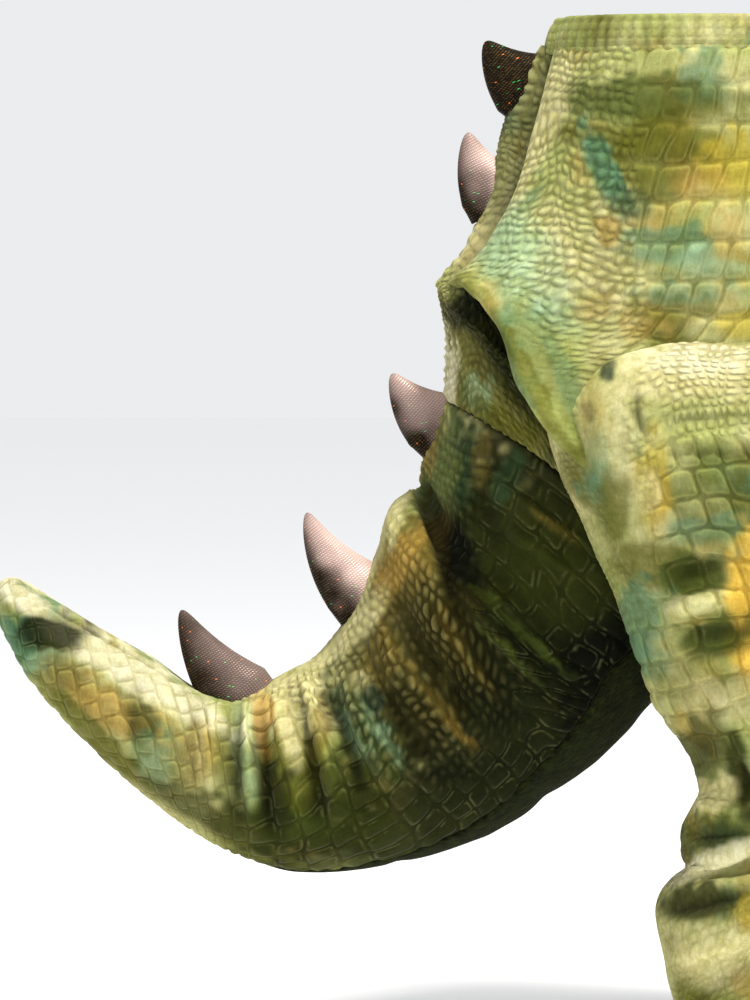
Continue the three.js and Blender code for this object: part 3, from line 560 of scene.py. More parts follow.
PATCHES["tail"] = table(
    PATCH,
    # root, lower root and underside are partly the cloth's own dark colour and partly painted shade on the tail's
    # root and underside.
    ("root", -104, -396, 90, 126, -8, "dark", 0.94),
    ("root middle", -118, -376, 60, 44, -40, "moss", 0.55),
    ("lower root", -100, -500, 120, 74, 14, "dark", 0.94),
    ("underside", -172, -566, 150, 34, 17, "dark", 0.9),
    ("under the turn", -268, -578, 56, 22, 0, "moss", 0.9),
    ("middle", -202, -508, 32, 42, -50, "dark", 0.55),
    # Painted shadow cast by the leg.
    ("beside the leg", -52, -480, 44, 66, 0, "black", 0.92),
    ("bend base", -206, -452, 56, 66, -20, "umber", 0.75),
    ("turn base", -286, -552, 56, 36, 0, "green", 0.6),
    ("root teal", -174, -322, 19, 44, -14, "bottle", 0.95),
    ("root teal, lit", -178, -320, 10, 36, -14, "sage", 0.38),
    ("root edge", -192, -312, 8, 30, -16, "ochre", 0.45),
    ("root tan", -150, -316, 7, 20, -14, "tan", 0.5),
    ("root grey", -128, -330, 10, 22, -30, "bottle", 0.9),
    # Painted shade in the crease where the tail folds over itself.
    ("root depth", -166, -384, 28, 13, -62, "black", 0.85),
    ("root tan, low", -96, -366, 20, 5, -36, "tan", 0.5),
    ("root cells", -98, -404, 50, 34, -20, "moss", 0.7),
    ("root string", -126, -438, 46, 4, -42, "green", 0.7),
    ("root string, low", -132, -454, 36, 3, -46, "green", 0.6),
    ("bend strip", -222, -378, 52, 8, 66, "cream", 0.75),
    ("bend tan", -202, -392, 46, 20, 66, "tan", 0.9),
    ("bend gold", -210, -394, 26, 11, 68, "ochre", 0.65),
    ("bend umber", -192, -438, 30, 34, -50, "umber", 0.72),
    ("bend string", -166, -450, 40, 4.5, -56, "tan", 0.4),
    ("lit string", -190, -482, 50, 4, -54, "tan", 0.55),
    ("lit string end", -168, -512, 18, 3, -42, "ochre", 0.3),
    ("bend hollow", -224, -462, 14, 28, -24, "tan", 0.55),
    ("top strip", -250, -444, 44, 10, 44, "cream", 0.7),
    ("turn light", -282, -492, 40, 26, 10, "cream", 0.9),
    ("turn tan", -268, -512, 8, 28, -14, "tan", 0.75),
    ("turn tan, rear", -292, -506, 6, 30, -4, "tan", 0.6),
    ("turn teal", -236, -510, 44, 14, -58, "bottle", 0.85),
    ("turn deep", -229, -490, 10, 8, -58, "deep_teal", 0.8),
    ("turn teal, lit", -238, -522, 26, 5, -58, "pale_teal", 0.4),
    ("turn teal, lit 2", -222, -518, 24, 4, -58, "pale_teal", 0.35),
    ("turn moss", -246, -552, 36, 24, 0, "moss", 0.85),
    ("turn olive", -284, -540, 24, 28, 0, "olive", 0.6),
    ("band orange", -307, -508, 7, 24, 5, "orange", 0.5),
    ("band pale", -321, -520, 8, 44, 5, "pale_teal", 0.3),
    ("band pale, rear", -290, -500, 7, 34, 5, "cream", 0.8),
    ("band dark", -298, -562, 12, 26, 5, "dark", 0.7),
    # Pale cloth lightened further: a painted highlight on the top of the slope.
    ("slope top", -404, -467, 92, 13, -31, "ivory", 0.9),
    ("slope gold", -421, -494, 30, 14, -35, "ochre", 0.7),
    ("slope tan", -380, -512, 30, 10, -38, "tan", 0.35),
    ("slope moss", -396, -508, 11, 13, -30, "moss", 0.6),
    ("slope teal", -382, -533, 22, 18, -35, "teal", 0.55),
    ("slope gold, low", -356, -530, 18, 24, -30, "ochre", 0.4),
    ("slope edge", -346, -570, 66, 12, -28, "moss", 0.7),
    ("slope edge, far", -432, -511, 54, 8, -47, "olive", 0.75),
    ("tip teal", -484, -450, 20, 24, 0, "teal", 0.85),
    ("tip patch", -458, -442, 27, 15, -12, "dark", 0.92),
    ("tip pale", -466, -462, 20, 6, 12, "pale_teal", 0.6),
    ("tip tan", -450, -470, 17, 12, -20, "tan", 0.6),
    ("tip", -480, -414, 26, 10, -27, "ivory", 0.9),
)
PATCHES["neck"] = table(
    PATCH,
    ("nape", 196, 2, 66, 15, 42, "moss", 0.75),
    ("side light", 196, -78, 56, 15, 42, "cream", 0.6),
    ("chest teal", 132, -108, 20, 30, 20, "teal", 0.7),
    ("gold", 252, 4, 15, 24, 40, "yellow", 0.55),
    ("high teal", 300, 40, 14, 26, 20, "teal", 0.6),
    ("low olive", 156, -150, 30, 20, 40, "olive", 0.6),
)
PATCHES["head"] = table(
    PATCH,
    ("crown", 372, 104, 62, 16, 0, "moss", 0.75),
    ("eye shade", 412, 72, 26, 20, 0, "olive", 0.7),
    ("cheek", 372, 30, 30, 26, 0, "cream", 0.6),
    ("cheek teal", 400, 14, 26, 13, 10, "teal", 0.6),
    ("snout gold", 486, 52, 34, 13, -20, "ochre", 0.65),
    ("lip", 462, 0, 86, 9, 0, "cream", 0.6),
    ("nose", 540, 34, 20, 16, -30, "olive", 0.6),
)
PATCHES["leg"] = table(
    PATCH,
    # haunch top and haunch shine are a painted highlight on the top of the haunch.
    ("haunch top", 8, -252, 60, 20, 0, "cream", 0.9),
    ("haunch shine", 4, -245, 42, 10, 0, "ivory", 0.85),
    ("haunch dot", -59, -253, 5, 8, -8, "deep_teal", 0.9),
    ("haunch rear", -68, -286, 10, 26, 4, "ochre", 0.35),
    ("smooth band", -50, -304, 13, 48, 4, "cream", 0.7),
    ("rear teal", -66, -322, 8, 34, 4, "teal", 0.35),
    ("pebbled thigh", 4, -286, 44, 16, 0, "sage", 0.6),
    ("thigh green", 16, -346, 40, 34, 4, "green", 0.48),
    ("thigh teal", 10, -366, 34, 11, 6, "teal", 0.5),
    ("thigh gold", -26, -335, 13, 38, 6, "yellow", 0.55),
    ("thigh gold, shade", -22, -344, 10, 22, 6, "ochre", 0.35),
    ("thigh pale", -32, -340, 9, 15, 0, "cream", 0.5),
    ("thigh moss", -56, -350, 11, 24, 0, "olive", 0.7),
    ("above knee", -22, -392, 34, 20, 0, "olive", 0.7),
    # knee dark is painted shade in the knee's upper dent.
    ("knee dark", 4, -400, 27, 17, 8, "green", 0.85),
    ("knee teal", -34, -428, 18, 26, 0, "teal", 0.68),
    # Painted highlight on the ridge between the knee's dents.
    ("knee ridge", 7, -421, 24, 7, 12, "cream", 0.6),
    ("knee orange", 46, -425, 19, 56, 0, "amber", 1.0),
    # Painted shade in the knee's lower dent.
    ("knee shade", 18, -443, 28, 15, 4, "green", 0.9),
    ("calf teal", -26, -460, 15, 16, 0, "teal", 0.5),
    ("calf cells", 6, -476, 30, 20, 0, "olive", 0.4),
    ("calf light", 24, -490, 26, 18, 0, "cream", 0.7),
    # hollow and hollow fold are painted shade in the calf's hollow and fold.
    ("hollow", 10, -524, 22, 24, -10, "moss", 0.7),
    ("hollow fold", 37, -540, 9, 30, 8, "moss", 0.85),
    # The rolls above the ankle: first roll is a painted highlight on its crest, valley and valley corner painted
    # shade in the trough below.
    ("first roll", 15, -558, 20, 12, 20, "cream", 0.8),
    ("valley", 10, -586, 42, 14, 8, "green", 0.65),
    ("valley teal", 24, -590, 16, 11, 0, "bottle", 0.6),
    ("valley corner", -4, -606, 8, 10, 0, "dark", 0.6),
    # second roll is a painted highlight on its crest, low valley painted shade in the trough below.
    ("second roll", 18, -606, 42, 8, 22, "ivory", 0.7),
    ("low valley", 8, -634, 30, 14, 6, "moss", 0.85),
    ("low gold", 44, -640, 14, 12, 0, "yellow", 0.5),
    ("low cloth", 20, -676, 38, 22, -6, "cream", 0.8),
    ("low ochre", 46, -694, 14, 14, 0, "ochre", 0.5),
)

# The camera looks at the right side from a little above. In mm, apart from the angle.
AIM_X, AIM_Z, DISTANCE, RAISED = -226.8, -345.6, 3500, math.radians(4)
SENSOR, VIEW_WIDTH = 36, 720


def seen_from_side(p):
    """Where the camera sees points in mm, as x and z on the middle plane."""
    near = -np.abs(p[..., 1])
    x, z = p[..., 0] - AIM_X, p[..., 2] - AIM_Z
    cos, sin = math.cos(RAISED), math.sin(RAISED)
    scale = DISTANCE / (DISTANCE + near * cos - z * sin)
    return AIM_X + x * scale, AIM_Z + (z * cos + near * sin) * scale


def cloth_tint(p, seed, sort):
    """Colour of the mottled cloth at points in mm, with the painted shade and highlights of its patches."""

    def blend(base, ink, share):
        return base + (np.array(INK[ink]) - base) * np.clip(share, 0, 1)[..., None]

    broad, mid, small = (noise(p, pitch, seed + own) for pitch, own in ((46, 0), (21, 3), (8.5, 5)))
    base = np.broadcast_to(np.array(INK["sage"]), p.shape)
    base = blend(base, "cream", 0.3 + 0.5 * broad + 0.25 * mid)
    base = blend(base, "olive", smooth(noise(p, 38, seed + 11) + 0.35 * mid, 0.1, 0.75) * 0.75)
    base = blend(base, "ochre", smooth(noise(p, 33, seed + 7) + 0.35 * small, 0.3, 0.9) * 0.5)
    base = blend(base, "teal", smooth(noise(p, 42, seed + 9) + 0.3 * small, 0.35, 0.9) * 0.65)
    far = smooth(p[..., 1], -5, 25)
    x, z = seen_from_side(p)
    x = x + far * (26 * noise(p, 90, seed + 21) - 8) + 4.5 * mid
    z = z + far * 26 * noise(p, 90, seed + 23) + 4.5 * small
    for row in PATCHES.get(sort, ()):
        a = math.radians(row["turn"])
        dx, dz = x - row["x"], z - row["z"]
        u = (dx * math.cos(a) + dz * math.sin(a)) / row["rx"]
        v = (-dx * math.sin(a) + dz * math.cos(a)) / row["rz"]
        reach = np.sqrt(u * u + v * v) + 0.24 * small + 0.14 * mid
        base = blend(base, row["ink"], row["share"] * smooth(-reach, -1.35, -0.65))
    return base**CONTRAST * ALBEDO


# ---------------------------------------------------------------- pieces


def add_mesh(name, bm):
    """Makes a smooth object of a bmesh."""
    mesh = bpy.data.meshes.new(name)
    bm.to_mesh(mesh)
    bm.free()
    mesh.polygons.foreach_set("use_smooth", np.ones(len(mesh.polygons), bool))
    obj = bpy.data.objects.new(name, mesh)
    bpy.context.scene.collection.objects.link(obj)
    return obj


def add_grid(name, p):
    """A grid of points in mm as an object, made from a plain grid whose vertices are moved to the points. Also
    gives each vertex's row and column."""
    rows, columns = p.shape[0] - 1, p.shape[1] - 1
    bm = bmesh.new()
    bmesh.ops.create_grid(bm, x_segments=columns, y_segments=rows, size=0.5)
    obj = add_mesh(name, bm)
    place = np.empty(len(obj.data.vertices) * 3, np.float32)
    obj.data.vertices.foreach_get("co", place)
    place = place.reshape(-1, 3)
    j = np.rint((place[:, 0] + 0.5) * columns).astype(int)
    i = np.rint((place[:, 1] + 0.5) * rows).astype(int)
    obj.data.vertices.foreach_set("co", (p[i, j] * MM).astype(np.float32).ravel())
    return obj, i, j


def weld(obj, close=False):
    """Joins a grid's two ends where it runs right round, and closes its rims if asked."""
    bm = bmesh.new()
    bm.from_mesh(obj.data)
    bmesh.ops.remove_doubles(bm, verts=bm.verts, dist=1e-5)
    if close:
        bmesh.ops.holes_fill(bm, edges=[e for e in bm.edges if e.is_boundary], sides=0)
        bmesh.ops.recalc_face_normals(bm, faces=bm.faces)
    bm.to_mesh(obj.data)
    bm.free()


def store(mesh, **layers):
    """Keeps a number or a colour for each vertex."""
    for name, values in layers.items():
        if values.ndim == 1:
            layer = mesh.attributes.new(name, "FLOAT", "POINT")
            layer.data.foreach_set("value", values.astype(np.float32))
        else:
            layer = mesh.attributes.new(name, "FLOAT_COLOR", "POINT")
            rgba = np.concatenate((values, np.ones((len(values), 1))), 1)
            layer.data.foreach_set("color", rgba.astype(np.float32).ravel())


def store_uv(mesh, name, u, v):
    layer = mesh.uv_layers.new(name=name)
    corner = np.empty(len(mesh.loops), np.int32)
    mesh.loops.foreach_get("vertex_index", corner)
    layer.data.foreach_set("uv", np.stack((u[corner], v[corner]), 1).astype(np.float32).ravel())


def face_outwards(mesh, n):
    """Turns the faces over where they look inwards."""
    mesh.update()
    turned = np.empty(len(mesh.polygons) * 3, np.float32)
    mesh.polygons.foreach_get("normal", turned)
    first = np.empty(len(mesh.loops), np.int32)
    mesh.loops.foreach_get("vertex_index", first)
    start = np.empty(len(mesh.polygons), np.int32)
    mesh.polygons.foreach_get("loop_start", start)
    if np.sum(turned.reshape(-1, 3) * n[first[start]]) < 0:
        mesh.flip_normals()


COARSE_ROWS, COARSE_COLUMNS = 120, 73


def coarse_bvh(tube, start, end):
    """A tube's surface in coarse faces that look outwards, to find what lies inside it."""
    at = np.linspace(start, end, COARSE_ROWS)[:, None]
    angle = np.linspace(0, 360, COARSE_COLUMNS)[None, :] + 0 * at
    at = at + 0 * angle
    p = tube.point(at, angle)
    rows, columns = p.shape[:2]
    cross = np.cross(p[1, 0] - p[0, 0], p[0, 1] - p[0, 0])
    flip = np.dot(cross, tube.normal(at, angle)[0, 0]) > 0
    faces = []
    for a in (i * columns + j for i in range(rows - 1) for j in range(columns - 1)):
        b, c, d = a + 1, a + columns + 1, a + columns
        faces.append((a, d, c, b) if flip else (a, b, c, d))
    return BVHTree.FromPolygons([Vector(v) for v in p.reshape(-1, 3)], faces)


def outside(p, bvh, low, high):
    """Signed distance in mm from a closed form, for the points between two corners. The rest count as far out."""
    out = np.full(len(p), 99.0)
    near = np.all((p > np.array(low)) & (p < np.array(high)), 1)
    for k in np.nonzero(near)[0]:
        q = Vector(p[k])
        hit, direction, _, _ = bvh.find_nearest(q)
        out[k] = math.copysign((q - hit).length, (q - hit).dot(direction))
    return out


# The forms that the panels are cut by, each with the corners of the room where the cuts may be. Only the first
# sections of the legs and the neck can cut.
LEG_REACH, NECK_REACH = 9, 4
forms = {
    "body": (coarse_bvh(body, 0, body.last), (-190, -170, -480), (200, 170, -30)),
    "leg_right": (coarse_bvh(legs["right"], 0, LEG_REACH), (-120, -200, -500), (160, 0, -200)),
    "leg_left": (coarse_bvh(legs["left"], 0, LEG_REACH), (-120, 0, -500), (160, 200, -200)),
    "neck": (coarse_bvh(neck, 0, NECK_REACH), (60, -110, -240), (200, 110, -20)),
}
CUT_DEPTH, CRUMB = 5.0, 0.02


def cut_inside(obj, points, cutters):
    """Removes what lies more than CUT_DEPTH mm inside the forms that join here, and the crumbs that are left: parts
    with less than a CRUMB of the largest part's vertices."""
    distance = np.min([outside(points, *forms[name]) for name in cutters], 0)
    bm = bmesh.new()
    bm.from_mesh(obj.data)
    bm.verts.ensure_lookup_table()
    gone = [f for f in bm.faces if all(distance[v.index] < -CUT_DEPTH for v in f.verts)]
    bmesh.ops.delete(bm, geom=gone, context="FACES")
    parts = loose_parts(bm)
    for part in parts[1:]:
        if len(part) < len(parts[0]) * CRUMB:
            bmesh.ops.delete(bm, geom=part, context="VERTS")
    bm.to_mesh(obj.data)
    bm.free()


def loose_parts(bm):
    """Groups of joined vertices, the largest first."""
    seen, parts = set(), []
    for v in bm.verts:
        if v.index in seen:
            continue
        stack, part = [v], []
        seen.add(v.index)
        while stack:
            w = stack.pop()
            part.append(w)
            for e in w.link_edges:
                o = e.other_vert(w)
                if o.index not in seen:
                    seen.add(o.index)
                    stack.append(o)
        parts.append(part)
    return sorted(parts, key=len, reverse=True)


def finish_piece(obj, name, material, cloth):
    """Gives a piece its material and its cloth's thickness, and puts it in place of its solid."""
    obj.data.materials.append(material)
    if cloth:
        shell = obj.modifiers.new("cloth", "SOLIDIFY")
        shell.thickness, shell.offset = cloth * MM, -1
        shell.use_even_offset = False
        shell.use_rim = True
    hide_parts(name)
    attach(obj, "root")


# ---------------------------------------------------------------- materials


class Look:
    """A material, with short ways to add and wire its nodes."""

    def __init__(self, name):
        self.material = bpy.data.materials.new(name)
        self.material.use_nodes = True
        self.tree = self.material.node_tree

    def put(self, socket, value):
        if hasattr(value, "is_output"):
            self.tree.links.new(value, socket)
        else:
            socket.default_value = value

    def node(self, kind, inputs=(), **props):
        made = self.tree.nodes.new("ShaderNode" + kind)
        for key, value in props.items():
            setattr(made, key, value)
        for key, value in dict(inputs).items():
            self.put(made.inputs[key], value)
        return made

    def make(self, kind, inputs=(), out=0, **props):
        """Adds a node and gives one of its outputs."""
        return self.node(kind, inputs, **props).outputs[out]

    def maths(self, operation, a, b=0.0):
        return self.make("Math", {0: a, 1: b}, operation=operation)

    def times(self, *values):
        product = values[0]
        for value in values[1:]:
            product = self.maths("MULTIPLY", product, value)
        return product

    def ramp(self, value, low, high, to_low=0.0, to_high=1.0):
        inputs = {"Value": value, "From Min": low, "From Max": high, "To Min": to_low, "To Max": to_high}
        return self.make("MapRange", inputs, "Result", interpolation_type="SMOOTHSTEP")

    def mix(self, share, a, b, blend="MIX"):
        a, b = ((*ink, 1) if isinstance(ink, tuple) else ink for ink in (a, b))
        return self.make("Mix", {0: share, 6: a, 7: b}, 2, data_type="RGBA", blend_type=blend)

    def mix_value(self, share, a, b):
        return self.make("Mix", {0: share, 2: a, 3: b}, data_type="FLOAT")

    def noise(self, place, scale, detail, roughness=0.5):
        return self.make("TexNoise", {"Vector": place, "Scale": scale, "Detail": detail, "Roughness": roughness})

    def attribute(self, name, out="Fac"):
        return self.make("Attribute", out=out, attribute_name=name)

    def uv(self, name):
        return self.make("UVMap", uv_map=name)

    def place(self):
        return self.make("TexCoord", out="Object")

    def bump(self, height, strength, distance):
        return self.make("Bump", {"Height": height, "Strength": strength, "Distance": distance})

    def dress(self, inputs):
        """Sets or links the shader's own sockets."""
        for key, value in inputs.items():
            self.put(self.tree.nodes["Principled BSDF"].inputs[key], value)
        return self.material


def cell_nodes(look, place, corner):
    """The cells of cell_edges() as nodes: the distance from the edge, and a number of its own for each cell."""
    axes = look.node("SeparateXYZ", {0: place})
    row = look.maths("FLOOR", axes.outputs[1])
    slip = look.maths("FRACT", look.times(row, ROW_SHIFT))
    wide = look.maths("FRACT", look.times(row, ROW_STRETCH))
    wide = look.maths("ADD", look.times(wide, ROW_SPREAD), ROW_NARROWEST)
    u = look.maths("ADD", look.times(axes.outputs[0], wide), slip)

    def beyond(value):
        middle = look.maths("SUBTRACT", look.maths("FRACT", value), 0.5)
        return look.maths("SUBTRACT", look.maths("ABSOLUTE", middle), 0.5 - corner)

    qu, qv = beyond(u), beyond(axes.outputs[1])
    out = look.make("CombineXYZ", {0: look.maths("MAXIMUM", qu), 1: look.maths("MAXIMUM", qv)})
    length = look.make("VectorMath", {0: out}, "Value", operation="LENGTH")
    inner = look.maths("MINIMUM", look.maths("MAXIMUM", qu, qv))
    edge = look.maths("SUBTRACT", look.maths("SUBTRACT", corner, length), inner)
    cell = look.make("CombineXYZ", {0: look.maths("FLOOR", u), 1: row})
    return edge, look.make("TexWhiteNoise", {"Vector": cell}, "Value", noise_dimensions="2D")


def scale_plush():
    """Velour embossed with scales: large cells and pebbles, which the mesh follows too. Its colour has painted
    shade in the grooves and painted highlights on the rims and the beads.
    """
    look = Look("scale_plush")
    large, worn, beaded = (look.attribute(name) for name in ("large", "worn", "beaded"))
    place = look.place()
    big_edge, big_tone = cell_nodes(look, look.uv("scales"), LARGE_ROUND)
    small_edge, small_tone = cell_nodes(look, look.uv("pebbles"), PEBBLE_ROUND)

    groove = look.mix_value(large, look.ramp(small_edge, 0.0, 0.26), look.ramp(big_edge, 0.0, 0.13))
    dome = look.mix_value(large, look.ramp(small_edge, 0.0, 0.45), look.ramp(big_edge, 0.0, 0.3))
    big_rim = look.times(look.ramp(big_edge, 0.03, 0.09), look.ramp(big_edge, 0.09, 0.2, 1.0, 0.0))
    rim = look.mix_value(large, look.ramp(small_edge, 0.2, 0.42), big_rim)
    cell_tone = look.mix_value(large, small_tone, big_tone)
    kept = look.maths("SUBTRACT", 1.0, worn)

    blotch, nap = look.noise(place, 95.0, 5.0, 0.6), look.noise(place, 620.0, 3.0, 0.7)
    brushed = look.make("Mapping", {"Vector": place, "Scale": (420.0, 420.0, 120.0)})
    pile = look.times(look.maths("ADD", nap, look.noise(brushed, 1.0, 3.0)), 0.5)
    fading = look.ramp(look.noise(place, 48.0, 2.0), 0.38, 0.66, 0.15, 0.6)
    # lift is a painted highlight on the cells' rims, shade is painted shade in the grooves between the cells, and
    # lit is a further painted highlight on the rims of the large cells.
    lift = look.times(rim, kept, 0.3)
    shade = look.times(look.maths("SUBTRACT", 1.0, groove), kept, fading)
    lit = look.times(lift, look.ramp(blotch, 0.46, 0.62, 0.0, 1.3), large)

    colour = look.attribute("tint", "Color")
    for share, ink, blend in (
        (look.ramp(cell_tone, 0.0, 1.0, 0.0, 0.35), (0.72, 0.74, 0.5), "MULTIPLY"),
        (look.ramp(blotch, 0.4, 0.7, 0.0, 0.6), (0.6, 0.6, 0.36), "MULTIPLY"),
        (lift, (1.0, 0.95, 0.75), "SOFT_LIGHT"),
        (shade, (0.5, 0.46, 0.26), "MULTIPLY"),
        (lit, (0.12, 0.125, 0.05), "SCREEN"),
        # Painted shade in the gaps between the beads, and a painted highlight on their tops.
        (look.times(look.ramp(small_edge, 0.0, 0.2, 1.0, 0.0), beaded), (0.55, 0.5, 0.34), "MULTIPLY"),
        (look.times(look.ramp(small_edge, 0.04, 0.42, 0.0, 0.34), beaded), (0.24, 0.19, 0.075), "SCREEN"),
        (look.ramp(pile, 0.35, 0.65, 0.4, 0.0), (0.55, 0.55, 0.4), "MULTIPLY"),
    ):
        colour = look.mix(share, colour, ink, blend)

    relief = look.times(look.maths("ADD", dome, look.times(groove, 0.5)), kept)
    height = look.maths("ADD", relief, look.times(pile, 0.35))
    return look.dress({
        "Base Color": colour,
        "Normal": look.bump(height, 0.8, 0.0011),
        "Roughness": 0.8,
        "Sheen Weight": 0.06,
        "Sheen Roughness": 0.4,
        "Sheen Tint": (1.0, 0.97, 0.7, 1),
        "Specular IOR Level": 0.06,
    })


def dark_plush():
    """Short dark fur fabric with the pile brushed along the body."""
    look = Look("dark_plush")
    brushed = look.make("VectorMath", {0: look.uv("scales"), 1: (11.0, 2.4, 1.0)}, operation="MULTIPLY")
    strand, tuft = look.noise(brushed, 1.0, 4.0, 0.65), look.noise(look.place(), 120.0, 5.0, 0.7)
    both = look.times(look.maths("ADD", strand, tuft), 0.5)
    colour = look.node("ValToRGB", {"Fac": both})
    dark, light = colour.color_ramp.elements
    dark.position, dark.color = 0.42, (*linear(8, 11, 3), 1)
    light.position, light.color = 0.64, (*linear(40, 46, 13), 1)
    return look.dress({
        "Base Color": colour.outputs[0],
        "Normal": look.bump(both, 1.0, 0.005),
        "Roughness": 0.85,
        "Sheen Weight": 0.03,
        "Sheen Tint": (0.7, 0.8, 0.4, 1),
        "Specular IOR Level": 0.06,
    })


def glitter_knit():
    """Dark knit with a grid of small copper dots, a few of which flash green and orange. On the upper side of a
    spike the ground and the dots turn pale pink: a painted highlight."""
    look = Look("glitter_knit")
    inputs = {"Vector": look.uv("scales"), "Scale": 1.0, "Randomness": 0.06}
    dots = look.node("TexVoronoi", inputs, voronoi_dimensions="2D").outputs
    dot = look.ramp(dots["Distance"], 0.2, 0.44, 1.0, 0.0)
    tone = look.node("SeparateColor", {0: dots["Color"]}).outputs
    glow = look.attribute("glow")
    flash = look.mix(tone[0], linear(30, 22, 11), linear(82, 62, 32))
    flash = look.mix(look.ramp(tone[1], 0.98, 0.985), flash, linear(60, 170, 84))
    flash = look.mix(look.ramp(tone[2], 0.985, 0.99), flash, linear(230, 120, 50))
    # The painted highlight turns the dots and the ground pale pink.
    flash = look.mix(glow, flash, linear(252, 226, 216))
    ground = look.mix(glow, linear(12, 9, 3), linear(206, 172, 162))
    return look.dress({
        "Base Color": look.mix(dot, ground, flash),
        "Metallic": look.times(dot, 0.35),
        "Roughness": look.ramp(dot, 0.0, 1.0, 0.75, 0.38),
        "Normal": look.bump(dot, 0.6, 0.0007),
        "Sheen Weight": 0.04,
        "Sheen Roughness": 0.25,
        "Sheen Tint": (1.0, 0.78, 0.6, 1),
        "Specular IOR Level": 0.08,
    })


def eye_gloss():
    look = Look("eye_gloss")
    cloud = look.noise(look.place(), 140.0, 2.0)
    colour = look.mix(cloud, (0.012, 0.01, 0.006), (0.045, 0.03, 0.01))
    return look.dress({"Base Color": colour, "Roughness": 0.08, "Coat Weight": 0.6})


SCALE, DARK, GLITTER, EYE = scale_plush(), dark_plush(), glitter_knit(), eye_gloss()

# ---------------------------------------------------------------- camera, floor and light

camera = bpy.data.objects.new("camera", bpy.data.cameras.new("camera"))
bpy.context.scene.collection.objects.link(camera)
back = Vector((0, -math.cos(RAISED), math.sin(RAISED)))
camera.location = Vector((AIM_X, 0, AIM_Z)) * MM + back * DISTANCE * MM
camera.rotation_mode = "QUATERNION"
camera.rotation_quaternion = (-back).to_track_quat("-Z", "Y")
camera.data.sensor_width = SENSOR
camera.data.lens = SENSOR * DISTANCE / VIEW_WIDTH
camera.data.clip_end = 50
bpy.context.scene.camera = camera

FLOOR, FLOOR_HALF = -0.763, 9


def add_floor():
    bm = bmesh.new()
    bmesh.ops.create_grid(bm, x_segments=2, y_segments=2, size=FLOOR_HALF)
    bmesh.ops.translate(bm, verts=bm.verts, vec=Vector((0, 0, FLOOR)))
    floor = add_mesh("floor", bm)
    floor.data.materials.append(Look("floor").dress({"Base Color": (0.96, 0.96, 0.96, 1), "Roughness": 0.9}))


def add_light(name, place, aim, size, power, colour):
    lamp = bpy.data.lights.new(name, "AREA")
    lamp.size, lamp.energy, lamp.color = size, power, colour
    obj = bpy.data.objects.new(name, lamp)
    bpy.context.scene.collection.objects.link(obj)
    obj.location = place
    obj.rotation_mode = "QUATERNION"
    obj.rotation_quaternion = (Vector(aim) - Vector(place)).to_track_quat("-Z", "Y")


def add_sky(colour, strength):
    world = bpy.data.worlds.new("studio")
    bpy.context.scene.world = world
    world.use_nodes = True
    sky = world.node_tree.nodes["Background"]
    sky.inputs[0].default_value, sky.inputs[1].default_value = (*colour, 1), strength


add_floor()
add_light("key", (0.45, -0.8, 2.2), (-0.2, 0, -0.35), 0.5, 112, (1, 0.98, 0.93))
add_light("fill", (1.2, -3.0, 0.6), (-0.1, 0, -0.35), 2.0, 8, (0.95, 0.98, 1))
add_sky((0.97, 0.98, 1), 0.86)
bpy.context.scene.view_settings.view_transform = "Standard"

# ---------------------------------------------------------------- cloth panels

